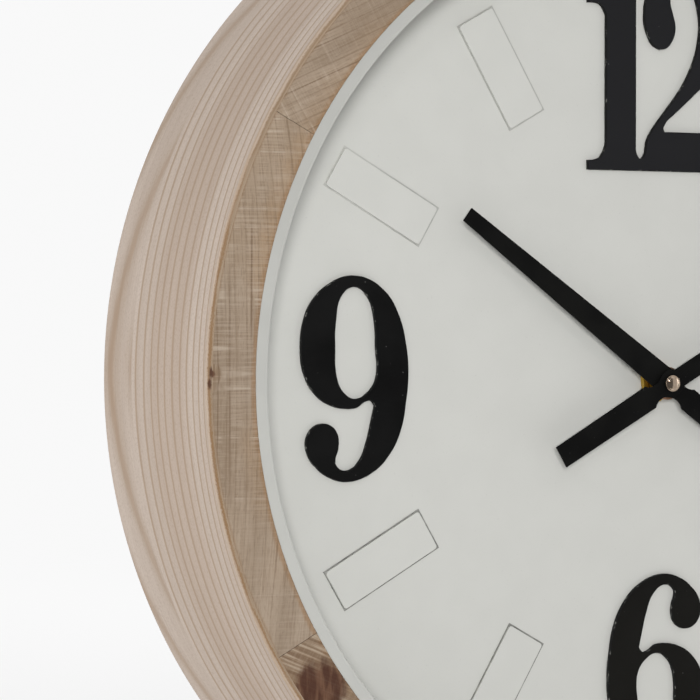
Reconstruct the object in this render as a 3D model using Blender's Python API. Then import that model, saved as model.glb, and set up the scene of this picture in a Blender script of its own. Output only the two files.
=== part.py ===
"""A round wall clock in a wooden frame, with raised numerals and a battery movement.

Metres, +Z up. The dial faces -Y and the wall is the plane Y = 0. The origin is the hook
that the clock hangs on. Places are worked out from the middle of the dial's painted face,
with Y growing towards the wall.
"""

import math

import bmesh
import bpy
from mathutils import Matrix, Vector

# Whole clock
rear_radius = 0.200
frame_flare = 0.011
frame_depth = 0.0712
dial_recess = 0.0359
arbor_drop = 0.0024
seat_gap = 0.0003
cut_overrun = 0.002
ring_steps = 72
bore_steps = 12
fine_steps = 8

# Hoop, bent from one thin strip
hoop_thickness = 0.0022
hoop_edge_round = 0.0008
round_edge_steps = 2

# Ring of mitred staves inside the hoop
stave_count = 6
stave_steps = 12
stave_face_width = 0.0152
rebate_width = 0.0067
stave_back_recess = 0.0042
stave_edge_round = 0.0009

# White lining of the recess
lining_thickness = 0.0047
lining_inner_round = 0.0018
lining_outer_round = 0.0006

# Dial board and its screws
board_thickness = 0.003
spindle_hole_gap = 0.0004
screw_shank_radius = 0.0015
screw_head_radius = 0.0031
screw_head_height = 0.0018
screw_reach = 0.012
screw_point_length = 0.003
screw_slot_width = 0.0008
screw_slot_depth = 0.0008

# Batons, one at each hour that has no numeral
baton_lining_gap = 0.0187
baton_length = 0.0410
baton_width = 0.0150
baton_thickness = 0.0008
baton_corner = 0.0010
baton_hours = (1, 2, 4, 5, 7, 8, 10, 11)

# Numerals
numeral_height = 0.0718
numeral_thickness = 0.0016
twelve_inset = 0.0009
side_inset = 0.0065
six_inset = 0.0034
numeral_curve_steps = 2

# Hands, as the photograph has them: ten past ten
hand_thickness = 0.0008
hour_hand_angle = math.radians(306.4)
hour_hand_short_of_batons = 0.0056
hour_hand_root_width = 0.0096
hour_hand_tip_width = 0.0055
hour_hand_tail = 0.0400
hour_hand_hub_radius = 0.0052
hour_hand_stand = 0.0095
minute_hand_angle = math.radians(60)
minute_hand_short_of_batons = 0.0006
minute_hand_root_width = 0.0071
minute_hand_tip_width = 0.0048
minute_hand_tail = 0.0519
minute_hand_hub_radius = 0.0049
minute_hand_stand = 0.0113
hand_tail_root_width = 0.0088
hand_tail_end_width = 0.0083
shoulder_reach = 0.0100
shoulder_radius = 0.0052
hub_arc_steps = 6

# Collet that carries the hour hand
collet_radius = 0.0060
collet_thickness = 0.0009

# Cap nut and fixing nut
cap_nut_radius = 0.0032
cap_nut_rim = 0.0008
cap_nut_dome = 0.0009
cap_nut_wall = 0.0006
fixing_nut_flats = 0.0120
fixing_nut_thickness = 0.0022
fixing_nut_chamfer = 0.0004
fixing_nut_angle = math.radians(7)

# Threaded bushing, hour pipe and minute arbor, one inside the other
bushing_radius = 0.0039
bushing_bore_radius = 0.0028
bushing_stand = 0.0047
pipe_radius = 0.0025
pipe_bore_radius = 0.0018
arbor_radius = 0.0015
thread_radius = 0.0011
gasket_radius = 0.0110
gasket_thickness = 0.0009

# Hanger plate on the back
hanger_width = 0.0500
hanger_height = 0.0140
hanger_raised_width = 0.0200
hanger_slope_width = 0.0030
hanger_sheet = 0.0012
hanger_rise = 0.0024
hanger_corner = 0.0030
hanger_screw_inset = 0.0065
keyhole_slot_width = 0.0046
keyhole_entry_radius = 0.0042
keyhole_drop = 0.0046

# Movement case
case_depth = 0.0160
case_wall = 0.0015
case_corner = 0.0030
case_split_share = 0.3
battery_wall = 0.0012
corner_steps = 3

# Battery and its contacts
battery_radius = 0.0071
battery_steps = 16
battery_length = 0.0490
battery_rim_round = 0.0007
battery_nub_radius = 0.0028
battery_nub_length = 0.0012
contact_sheet = 0.0004
contact_width = 0.0090
contact_height = 0.0110
contact_bump_radius = 0.0025
contact_bump_crown_share = 0.6
contact_bump_height = 0.0004

# Wheels: module, teeth, levels
wheel_thickness = 0.0010
level_pitch = 0.0020
wheel_float = 0.0005
pinion_overhang = 0.0003
wheel_arbor_radius = 0.0007
pivot_radius = 0.00045
pivot_length = 0.0009
pivot_clearance = 0.00015
tooth_addendum_share = 0.75
tooth_dedendum_share = 1.30
tooth_tip_half_share = 0.04
motion_module = 0.000675
cannon_teeth = 8
minute_wheel_teeth = 24
minute_pinion_teeth = 8
hour_wheel_teeth = 32
centre_module = 0.000373
centre_wheel_teeth = 48
third_pinion_teeth = 6
third_module = 0.000333
third_wheel_teeth = 45
second_pinion_teeth = 6
second_module = 0.000367
second_wheel_teeth = 36
fifth_pinion_teeth = 6
rotor_module = 0.000333
fifth_wheel_teeth = 30
rotor_pinion_teeth = 6
centre_hub_radius = 0.0028
wheel_window_share = 0.30
wheel_window_circle_share = 0.56
wheel_window_count = 4

# Rotor, stator and coil
rotor_magnet_radius = 0.0030
rotor_magnet_length = 0.0026
rotor_gap = 0.0005
stator_sheet = 0.0010
stator_arm = 0.0035
stator_wall = 0.0012
coil_radius = 0.0032
coil_flange_radius = 0.0036
coil_flange = 0.0008
coil_core_width = 0.0020
coil_core_sheet = 0.0010
coil_wall_inset = 0.0045
coil_low = -0.0090
stator_top = 0.0180
post_radius = 0.0012

# Circuit board
circuit_board_width = 0.0170
circuit_board_height = 0.0110
circuit_board_thickness = 0.0010
circuit_board_stand = 0.0011
circuit_board_inset = 0.0010
crystal_radius = 0.0010
crystal_length = 0.0060
crystal_inset = 0.0020

# Setting knob
knob_radius = 0.0055
knob_height = 0.0045
knob_flutes = 18
knob_flute_depth = 0.0005
knob_shank_radius = 0.0016

# Worked out from the sizes above
full_turn = 2 * math.pi
front_radius = rear_radius - frame_flare
bore_radius = front_radius - hoop_thickness - seat_gap - stave_face_width
front_y = -dial_recess
rear_y = frame_depth - dial_recess
stave_rear_y = rear_y - stave_back_recess
rebate_radius = bore_radius + rebate_width
screw_circle_radius = bore_radius + rebate_width / 2
baton_outer_radius = bore_radius - seat_gap - lining_thickness - baton_lining_gap
baton_inner_radius = baton_outer_radius - baton_length
hour_hand_reach = baton_inner_radius - hour_hand_short_of_batons
minute_hand_reach = baton_outer_radius - minute_hand_short_of_batons
case_front_y = board_thickness + gasket_thickness + 2 * seat_gap
case_rear_y = case_front_y + case_depth
case_split_y = case_front_y + case_depth * case_split_share
room_front_y = case_front_y + case_wall
room_rear_y = case_rear_y - case_wall
contact_stack = 2 * seat_gap + contact_sheet + contact_bump_height
room_half_width = (battery_length + battery_nub_length) / 2 + contact_stack
battery_z = -room_half_width + seat_gap + battery_radius
room_floor_z = battery_z + battery_radius + seat_gap + battery_wall


def frame_radius(y):
    """Outside of the frame, which widens evenly from its front edge to the wall."""
    return front_radius + (rear_radius - front_radius) * (y - front_y) / frame_depth


def hanger_middle():
    """Height of the hanger's middle: half way across the staves' rear faces."""
    skin = hoop_thickness + seat_gap
    return (rebate_radius + frame_radius(stave_rear_y) - skin) / 2


def level_y(level):
    """Front face of the wheel on one level of the movement."""
    return room_front_y + wheel_float + level * level_pitch


def clear_scene():
    for obj in list(bpy.data.objects):
        bpy.data.objects.remove(obj, do_unlink=True)


def material(name, colour, roughness, metallic=0.0):
    made = bpy.data.materials.new(name)
    made.use_nodes = True
    shader = made.node_tree.nodes["Principled BSDF"]
    shader.inputs["Base Color"].default_value = (*colour, 1.0)
    shader.inputs["Roughness"].default_value = roughness
    shader.inputs["Metallic"].default_value = metallic
    return made


same_point = 1e-7


def empty(name, parent=None, place=(0, 0, 0)):
    """An empty that carries what turns or stands on one axis."""
    made = bpy.data.objects.new(name, None)
    made.location = place
    made.parent = parent
    bpy.context.scene.collection.objects.link(made)
    return made


def add(name, data, parent, finish, angle=0.0, place=(0, 0, 0)):
    """One named piece, turned clockwise by angle as seen from the front."""
    made = bpy.data.objects.new(name, data)
    made.parent = parent
    made.location = place
    made.rotation_euler = (0, angle, 0)
    if finish and not data.materials:
        data.materials.append(finish)
    bpy.context.scene.collection.objects.link(made)
    return made


def finished(shape, name, smooth=True):
    """Turns a bmesh into a mesh with its faces pointing out."""
    bmesh.ops.remove_doubles(shape, verts=shape.verts, dist=same_point)
    bmesh.ops.recalc_face_normals(shape, faces=shape.faces)
    mesh = bpy.data.meshes.new(name)
    shape.to_mesh(mesh)
    shape.free()
    if smooth:
        mesh.shade_smooth()
        mesh.set_sharp_from_angle(angle=math.radians(35))
    return mesh


def turned(name, profile, steps=ring_steps, start=0.0, sweep=full_turn):
    """Spins (radius, y) points about the Y axis. A profile that starts and ends on the
    axis is left open there, and a sweep of less than a turn gets flat ends."""
    shape = bmesh.new()
    turn = Matrix.Rotation(start, 3, "Y")
    verts = [shape.verts.new(turn @ Vector((r, y, 0))) for r, y in profile]
    on_axis = profile[0][0] == 0 and profile[-1][0] == 0
    pairs = list(zip(verts, verts[1:] + verts[:1]))
    if on_axis:
        pairs.pop()
    edges = [shape.edges.new(pair) for pair in pairs]
    whole = sweep == full_turn
    bmesh.ops.spin(
        shape,
        geom=verts + edges,
        cent=(0, 0, 0),
        axis=(0, 1, 0),
        angle=sweep,
        steps=steps,
        use_merge=whole,
    )
    if not whole:
        rim = [edge for edge in shape.edges if edge.is_boundary]
        bmesh.ops.holes_fill(shape, edges=rim, sides=0)
    return finished(shape, name)


def plate(name, outline, low_y, high_y, smooth=False):
    """Extrudes an (x, z) outline from low_y to high_y."""
    shape = bmesh.new()
    face = shape.faces.new([shape.verts.new((x, low_y, z)) for x, z in outline])
    raised = bmesh.ops.extrude_face_region(shape, geom=[face])["geom"]
    moved = [item for item in raised if isinstance(item, bmesh.types.BMVert)]
    bmesh.ops.translate(shape, verts=moved, vec=(0, high_y - low_y, 0))
    return finished(shape, name, smooth)


def circle(radius, steps, centre=(0, 0), start=0.0, sweep=full_turn, ends=False):
    """Points on a circle in the XZ plane; ends adds the sweep's last point."""
    count = steps + 1 if ends else steps
    return [
        (
            centre[0] + radius * math.cos(start + sweep * i / steps),
            centre[1] + radius * math.sin(start + sweep * i / steps),
        )
        for i in range(count)
    ]


def rounded_rectangle(half_width, low, high, radius, steps=corner_steps):
    """Outline of a rectangle from low to high in Z with four round corners."""
    points = []
    quarter = full_turn / 4
    for i, (side, end) in enumerate(((1, high), (-1, high), (-1, low), (1, low))):
        x = side * (half_width - radius)
        z = end - radius if end == high else end + radius
        points += circle(radius, steps, (x, z), i * quarter, quarter, ends=True)
    return points


def polar(radius, angle):
    """The (x, z) point at an angle clockwise from twelve o'clock."""
    return radius * math.sin(angle), radius * math.cos(angle)


def hidden_helper(obj):
    obj.hide_render = True
    obj.display_type = "WIRE"
    return obj


def boolean(target, helper, operation):
    step = target.modifiers.new(helper.name, "BOOLEAN")
    step.operation = operation
    step.object = helper
    step.solver = "EXACT"


def cutter(name, data, parent, place=(0, 0, 0), angle=0.0):
    return hidden_helper(add(name, data, parent, None, angle, place))


def cut(target, *cutters):
    for tool in cutters:
        boolean(target, tool, "DIFFERENCE")


def join(target, *helpers):
    for helper in helpers:
        boolean(target, helper, "UNION")


def drill(name, radius, low_y, high_y, parent, place=(0, 0, 0), steps=fine_steps):
    return cutter(name, plate(name, circle(radius, steps), low_y, high_y), parent, place)


def rod(name, stations, steps=bore_steps):
    """A stepped round bar from (radius, low_y, high_y) stations that follow each other."""
    profile = [(0, stations[0][1])]
    for radius, low, high in stations:
        profile += [(radius, low), (radius, high)]
    profile.append((0, stations[-1][2]))
    return turned(name, profile, steps)


def edge_arc(corner, radius, start, steps=round_edge_steps):
    """A quarter round of a (radius, y) profile about corner, from angle start."""
    quarter = full_turn / 4
    return circle(radius, steps, corner, start, quarter, ends=True)


def make_hoop(centre, wood):
    """The bent strip: its outer front edge is sanded round."""
    soften = hoop_edge_round
    profile = edge_arc(
        (front_radius - soften, front_y + soften), soften, -full_turn / 4
    )
    profile += [
        (rear_radius, rear_y),
        (rear_radius - hoop_thickness, rear_y),
        (front_radius - hoop_thickness, front_y),
    ]
    add("hoop", turned("hoop", profile), centre, wood)


def make_staves(centre, wood, screw_holes, hanger_holes):
    """Six solid blocks glued into a ring, bored for the lining and rebated for the dial."""
    skin = hoop_thickness + seat_gap
    soften = stave_edge_round
    profile = [
        (frame_radius(front_y) - skin, front_y),
        (frame_radius(stave_rear_y) - skin, stave_rear_y),
        (rebate_radius, stave_rear_y),
        (rebate_radius, -seat_gap),
        (bore_radius, -seat_gap),
    ]
    profile += edge_arc((bore_radius + soften, front_y + soften), soften, full_turn / 2)
    pitch = full_turn / stave_count
    joint = seat_gap / bore_radius
    data = turned(
        "stave", profile, stave_steps, (joint - pitch) / 2, pitch - joint
    )
    for i in range(stave_count):
        hour = 1 + 2 * i
        angle = full_turn * hour / 12
        # The spun block starts out centred on three o'clock.
        stave = add(f"stave_{hour:02d}", data, centre, wood, angle - full_turn / 4)
        cut(stave, screw_holes[i])
        if hour in (1, 11):
            cut(stave, hanger_holes[hour == 11])


def make_lining(centre, paint):
    """The white ring that lines the recess, with its inner front edge rounded."""
    outer = bore_radius - seat_gap
    inner = outer - lining_thickness
    inside = lining_inner_round
    outside = lining_outer_round
    front = front_y + seat_gap
    profile = [(outer, -seat_gap), (inner, -seat_gap)]
    profile += edge_arc((inner + inside, front + inside), inside, full_turn / 2)
    profile += edge_arc((outer - outside, front + outside), outside, -full_turn / 4)
    add("recess_lining", turned("recess_lining", profile), centre, paint)


def make_board(centre, arbor_axis, paint, screw_holes):
    """The dial: a painted board that sits in the rebate."""
    radius = rebate_radius - seat_gap
    outline = circle(radius, ring_steps)
    board = add("dial_board", plate("dial_board", outline, 0, board_thickness), centre, paint)
    spindle = drill(
        "spindle_hole",
        bushing_radius + spindle_hole_gap,
        -cut_overrun,
        board_thickness + cut_overrun,
        arbor_axis,
        steps=2 * bore_steps,
    )
    cut(board, spindle, *screw_holes)


def screw_mesh(name):
    """A pan head wood screw with its head's seat at y = 0 and its point towards -Y."""
    head = screw_head_radius
    top = screw_head_height
    crown = top / 3
    profile = [
        (0, -screw_reach),
        (screw_shank_radius, screw_point_length - screw_reach),
        (screw_shank_radius, 0),
        (head, 0),
        (head, top - crown),
        (head - crown, top),
        (0, top),
    ]
    return turned(name, profile, fine_steps)


def add_screws(names, places, seat_y, centre, metal):
    """Screws in a row of places, each with its slot cut across the head."""
    data = screw_mesh("screw")
    slot_z = screw_slot_width / 2
    outline = [
        (-screw_head_radius - cut_overrun, -slot_z),
        (screw_head_radius + cut_overrun, -slot_z),
        (screw_head_radius + cut_overrun, slot_z),
        (-screw_head_radius - cut_overrun, slot_z),
    ]
    top = screw_head_height
    slot = plate("screw_slot", outline, top - screw_slot_depth, top + cut_overrun)
    for name, (x, z) in zip(names, places):
        place = (x, seat_y, z)
        screw = add(name, data, centre, metal, place=place)
        cut(screw, cutter(f"{name}_slot", slot, centre, place))


def screw_holes_at(name, places, seat_y, centre):
    """Pilot holes, longer than the screws by one gap, that also pass the seat."""
    radius = screw_shank_radius + seat_gap
    low = seat_y - screw_reach - seat_gap
    return [
        drill(f"{name}_{i}", radius, low, seat_y + cut_overrun, centre, (x, 0, z))
        for i, (x, z) in enumerate(places)
    ]


def make_batons(centre, paint):
    """Blank raised markers at the hours between the numerals."""
    outline = rounded_rectangle(
        baton_width / 2, baton_inner_radius, baton_outer_radius, baton_corner
    )
    top = -seat_gap - baton_thickness
    data = plate("baton", outline, top, -seat_gap)
    for hour in baton_hours:
        add(f"baton_{hour:02d}", data, centre, paint, full_turn * hour / 12)


# Numeral outlines on a grid of 72 rows to the numeral's height, with the middle at zero.
# A third value of 1 marks a sharp corner.
numeral_rows = 72
nine_half_width_rows = 20.5
nine_outline_shares = (
    (0, 36), (10.5, 31.5), (16.5, 23), (19.5, 12.5), (20.5, 2), (19.5, -9),
    (17.5, -18.5), (13, -27), (6.5, -33), (-3, -36), (-9.5, -34.5), (-14.5, -31),
    (-18, -26), (-18, -19.5), (-12.5, -15.5), (-7, -18.5), (-6.5, -25), (-7.5, -29.5),
    (-3.5, -32), (1, -29.5), (4, -23.5), (6, -16), (7.5, -9.5, 1), (5.5, -7.5),
    (1, -10), (-4, -10.5), (-10, -9), (-15, -5.5), (-19, 1), (-20.5, 10),
    (-19, 21.5), (-15.5, 28), (-9, 33.5),
)
nine_counter_shares = (
    (0, 32), (-5, 29), (-7, 22), (-7.5, 10), (-6.5, -1), (-3.5, -5.5), (0, -7),
    (4, -5.5), (8, 0), (8, 10), (7, 23), (4.5, 29),
)
three_outline_shares = (
    (-1, 36), (9.5, 33), (16, 25.5), (16.5, 15.5), (13, 7), (6.5, 2, 1), (15, -4),
    (19.5, -13.5), (18.5, -24), (12.5, -32), (3, -36), (-7, -35), (-14.5, -31),
    (-18.5, -25), (-17.5, -18.5), (-12, -15.5), (-7, -18.5), (-6.5, -25), (-7.5, -29.5),
    (-2.5, -32), (3.5, -29), (6.5, -22), (6.5, -11), (3.5, -3.5), (-2, -0.5),
    (-8, 0, 1), (-8, 3.5, 1), (-1.5, 4.5), (3.5, 9.5), (5, 17.5), (4, 26.5),
    (0, 32), (-5, 32), (-7.5, 29.5), (-6, 25), (-6.5, 19), (-11, 16),
    (-16, 18.5), (-17, 24.5), (-13.5, 31), (-7.5, 35),
)
twelve_outline_shares = (
    (-29, -36, 1), (29, -36, 1), (30.5, -15, 1), (27, -15, 1), (24.5, -20), (19, -21.5, 1),
    (3, -21.5, 1), (2.5, -20), (6.5, -15.5), (18.5, -5), (27.5, 6.5), (30.5, 19),
    (27.5, 29.5), (20, 35), (12, 36), (3, 34.5), (-3.5, 29.5), (-5.5, 22), (-4, 13.5),
    (1, 8.5), (6, 11.5), (7.5, 18), (5.5, 25.5), (6.5, 30.5), (10, 32), (14, 30.5),
    (17, 24), (17.5, 14), (14, 2), (8, -8), (-0.5, -18.5), (-4.5, -25), (-5.5, -30),
    (-7.5, -31.5), (-9, -28, 1), (-9, 35.5, 1), (-13, 34), (-21, 30), (-29, 28.5, 1),
    (-29, 24.5, 1), (-24, 24), (-21.5, 20, 1), (-21.5, -26, 1), (-24, -31.5),
    (-29, -32.5, 1),
)


def numeral(name, outlines, centre, paint, radius, hour, half_turn=False):
    """A numeral cut from black sheet: filled curves with an extrusion."""
    data = bpy.data.curves.new(name, "CURVE")
    data.dimensions = "2D"
    data.fill_mode = "BOTH"
    data.resolution_u = numeral_curve_steps
    data.extrude = numeral_thickness / 2
    unit = numeral_height / numeral_rows
    for outline in outlines:
        spline = data.splines.new("BEZIER")
        spline.use_cyclic_u = True
        spline.bezier_points.add(len(outline) - 1)
        for point, (x, z, *sharp) in zip(spline.bezier_points, outline):
            point.co = (x * unit, z * unit, 0)
            kind = "VECTOR" if sharp else "AUTO"
            point.handle_left_type = point.handle_right_type = kind
    x, z = polar(radius, full_turn * hour / 12)
    made = add(name, data, centre, paint, place=(x, -seat_gap - numeral_thickness / 2, z))
    # The curve lies in XY; standing it up turns its front to -Y.
    made.rotation_euler = (full_turn / 4, full_turn / 2 if half_turn else 0, 0)
    return made


def make_numerals(centre, paint):
    half_height = numeral_height / 2
    half_width = numeral_height * nine_half_width_rows / numeral_rows
    end = baton_outer_radius - twelve_inset - half_height
    side = baton_outer_radius - side_inset - half_width
    low = baton_outer_radius - six_inset - half_height
    nine = (nine_outline_shares, nine_counter_shares)
    numeral("numeral_12", (twelve_outline_shares,), centre, paint, end, 12)
    numeral("numeral_3", (three_outline_shares,), centre, paint, side, 3)
    numeral("numeral_6", nine, centre, paint, low, 6, half_turn=True)
    numeral("numeral_9", nine, centre, paint, side, 9)


def hand_outline(reach, root_width, tip_width, hub_radius, tail):
    """A straight hand that points to twelve: tapered arm, round hub, and a square-ended
    tail whose shoulders are hollowed by an arc that runs into the hub."""
    corner = Vector((hand_tail_root_width / 2, -shoulder_reach))
    bite = bite_centre(corner, hub_radius)
    toward_hub = -bite.normalized() * shoulder_radius
    first = math.atan2(corner.y - bite.y, corner.x - bite.x)
    last = math.atan2(toward_hub.y, toward_hub.x)
    sweep = (last - first + full_turn / 2) % full_turn - full_turn / 2
    half = [(tip_width / 2, reach)]
    root_angle = math.acos(root_width / 2 / hub_radius)
    end_angle = math.atan2(bite.y, bite.x)
    half += circle(
        hub_radius, hub_arc_steps, (0, 0), root_angle, end_angle - root_angle, ends=True
    )
    half += circle(
        shoulder_radius, hub_arc_steps, tuple(bite), last, -sweep, ends=True
    )[1:]
    half.append((hand_tail_end_width / 2, -tail))
    return half + [(-x, z) for x, z in reversed(half)]


def bite_centre(corner, hub_radius):
    """Middle of the arc that touches the hub from outside and ends at the corner."""
    far = hub_radius + shoulder_radius
    distance = corner.length
    along = (far**2 - shoulder_radius**2 + distance**2) / (2 * distance)
    across = math.sqrt(far**2 - along**2)
    axis = corner.normalized()
    side = Vector((-axis.y, axis.x))
    return axis * along + side * across


def make_hand(name, axis, paint, outline, angle, stand, bore):
    data = plate(name, outline, -stand - hand_thickness, -stand)
    hand = add(name, data, axis, paint, angle)
    hole = drill(
        f"{name}_bore",
        bore,
        -stand - hand_thickness - cut_overrun,
        cut_overrun - stand,
        axis,
    )
    cut(hand, hole)


def make_hands(minute_axis, hour_axis, paint):
    hour = hand_outline(
        hour_hand_reach,
        hour_hand_root_width,
        hour_hand_tip_width,
        hour_hand_hub_radius,
        hour_hand_tail,
    )
    minute = hand_outline(
        minute_hand_reach,
        minute_hand_root_width,
        minute_hand_tip_width,
        minute_hand_hub_radius,
        minute_hand_tail,
    )
    make_hand(
        "hour_hand",
        hour_axis,
        paint,
        hour,
        hour_hand_angle,
        hour_hand_stand,
        pipe_radius + seat_gap,
    )
    make_hand(
        "minute_hand",
        minute_axis,
        paint,
        minute,
        minute_hand_angle,
        minute_hand_stand,
        thread_radius + seat_gap,
    )


def make_collet(axis, metal):
    """The flange behind the hour hand, pressed on the hour pipe."""
    high = -hour_hand_stand + seat_gap + collet_thickness
    low = seat_gap - hour_hand_stand
    data = tube("hour_collet", collet_radius, pipe_radius + seat_gap, low, high)
    add("hour_collet", data, axis, metal)


def make_cap_nut(axis, metal):
    """A low domed nut on the arbor's thread, which holds the minute hand."""
    seat = -minute_hand_stand - hand_thickness - seat_gap
    rim = seat - cap_nut_rim
    bore = thread_radius + seat_gap
    steps = 2 * round_edge_steps
    dome = [
        (
            cap_nut_radius * math.cos(full_turn / 4 * i / steps),
            rim - cap_nut_dome * math.sin(full_turn / 4 * i / steps),
        )
        for i in range(steps)
    ]
    profile = [(0, rim - cap_nut_dome), *reversed(dome), (cap_nut_radius, seat)]
    profile += [(bore, seat), (bore, rim), (0, rim)]
    add("cap_nut", turned("cap_nut", profile, 2 * bore_steps), axis, metal)


def make_fixing_nut(axis, brass):
    """The hexagon nut that clamps the movement to the board."""
    across_corners = fixing_nut_flats / math.cos(full_turn / 12)
    low = -seat_gap - fixing_nut_thickness
    outline = circle(across_corners / 2, 6, start=full_turn / 12 + fixing_nut_angle)
    nut = add("fixing_nut", plate("fixing_nut", outline, low, -seat_gap), axis, brass)
    hole = drill(
        "fixing_nut_bore",
        bushing_radius + seat_gap,
        low - cut_overrun,
        cut_overrun,
        axis,
        steps=2 * bore_steps,
    )
    cut(nut, hole)


def tube(name, outer, inner, low, high, steps=2 * bore_steps):
    profile = [(outer, low), (outer, high), (inner, high), (inner, low)]
    return turned(name, profile, steps)


def make_bushing_and_gasket(axis, brass, rubber):
    bushing = tube(
        "bushing", bushing_radius, bushing_bore_radius, -bushing_stand, room_front_y
    )
    add("bushing", bushing, axis, brass)
    low = board_thickness + seat_gap
    inner = bushing_radius + seat_gap
    gasket = tube("gasket", gasket_radius, inner, low, low + gasket_thickness)
    add("gasket", gasket, axis, rubber)


def make_hanger(centre, steel, holes):
    """A pressed steel plate with a keyhole, raised in the middle to clear a screw head."""
    base = stave_rear_y + seat_gap
    top = base + hanger_rise
    half = hanger_width / 2
    raised = hanger_raised_width / 2
    foot = raised + hanger_slope_width
    middle_z = hanger_middle()
    hook_rise = middle_z + keyhole_drop / 2
    under = [(-half, base), (-foot, base), (-raised, top), (raised, top)]
    under += [(foot, base), (half, base)]
    section = under + [(x, y + hanger_sheet) for x, y in reversed(under)]
    shape = bmesh.new()
    low_z = middle_z - hanger_height / 2
    face = shape.faces.new([shape.verts.new((x, y, low_z)) for x, y in section])
    raised_part = bmesh.ops.extrude_face_region(shape, geom=[face])["geom"]
    moved = [item for item in raised_part if isinstance(item, bmesh.types.BMVert)]
    bmesh.ops.translate(shape, verts=moved, vec=(0, 0, hanger_height))
    hanger = add("hanger_plate", finished(shape, "hanger_plate", False), centre, steel)
    trim = rounded_rectangle(half, low_z, low_z + hanger_height, hanger_corner)
    stamp = plate("hanger_outline", trim, base - cut_overrun, rear_y + cut_overrun)
    boolean(hanger, cutter("hanger_outline", stamp, centre), "INTERSECT")
    reach = (base - cut_overrun, rear_y + cut_overrun)
    width = keyhole_slot_width / 2
    slot = circle(width, bore_steps // 2, (0, hook_rise), 0, full_turn / 2, ends=True)
    slot += [(-width, hook_rise - keyhole_drop), (width, hook_rise - keyhole_drop)]
    cut(
        hanger,
        cutter("keyhole_slot", plate("keyhole_slot", slot, *reach), centre),
        drill(
            "keyhole_entry",
            keyhole_entry_radius,
            *reach,
            centre,
            (0, 0, hook_rise - keyhole_drop),
            2 * bore_steps,
        ),
        *holes,
    )


def toothed(name, teeth, module, low, high, direction=0.0):
    """A disc with pointed teeth, one of them at direction, from +X towards +Z."""
    pitch_radius = teeth * module / 2
    pitch = full_turn / teeth
    root = pitch_radius - tooth_dedendum_share * module
    tip = pitch_radius + tooth_addendum_share * module
    outline = []
    for i in range(teeth):
        middle = direction + i * pitch
        for radius, share in (
            (root, -0.5),
            (tip, -tooth_tip_half_share),
            (tip, tooth_tip_half_share),
        ):
            angle = middle + share * pitch
            outline.append((radius * math.cos(angle), radius * math.sin(angle)))
    return plate(name, outline, low, high)


def in_mesh(direction, driver_teeth, driver_phase, teeth):
    """Phase of a wheel that lies at direction from the one that drives it, such that its
    tooth gap faces the driver's tooth."""
    turned_by = (direction - driver_phase) * driver_teeth - full_turn / 2
    return direction + full_turn / 2 + turned_by / teeth


def add_wheel(name, axis, finish, bar, discs):
    """A wheel: a stepped bar joined to its toothed discs."""
    wheel = add(name, bar, axis, finish)
    for i, disc in enumerate(discs):
        join(wheel, hidden_helper(add(f"{name}_teeth_{i}", disc, axis, None)))
    return wheel


def lighten(wheel, axis, teeth, module, level):
    """Round windows through a large wheel."""
    pitch_radius = teeth * module / 2
    for i in range(wheel_window_count):
        x, z = polar(pitch_radius * wheel_window_circle_share, full_turn * (i + 0.5) / 4)
        window = drill(
            f"{wheel.name}_window_{i}",
            pitch_radius * wheel_window_share / 2,
            level_y(level) - cut_overrun / 2,
            level_y(level) + wheel_thickness + cut_overrun / 2,
            axis,
            (x, 0, z),
        )
        cut(wheel, window)


def disc_on(name, level, teeth, module, phase):
    low = level_y(level)
    return toothed(name, teeth, module, low, low + wheel_thickness, phase)


def pinion_on(name, level, teeth, module, phase):
    low = level_y(level) - pinion_overhang
    high = level_y(level) + wheel_thickness + pinion_overhang
    return toothed(name, teeth, module, low, high, phase)


def pivoted_bar(name):
    """An arbor with a thin pivot at each end, which runs in the case's holes."""
    front = room_front_y + seat_gap
    rear = room_rear_y - seat_gap
    deep = pivot_length - 2 * seat_gap
    return rod(
        name,
        [
            (pivot_radius, front - deep, front),
            (wheel_arbor_radius, front, rear),
            (pivot_radius, rear, rear + deep),
        ],
        fine_steps,
    )


def pivot_hole(name, axis):
    """One drill that makes the bearing holes in both halves of the case."""
    return drill(
        name,
        pivot_radius + pivot_clearance,
        room_front_y - pivot_length,
        room_rear_y + pivot_length,
        axis,
        steps=fine_steps,
    )


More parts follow.
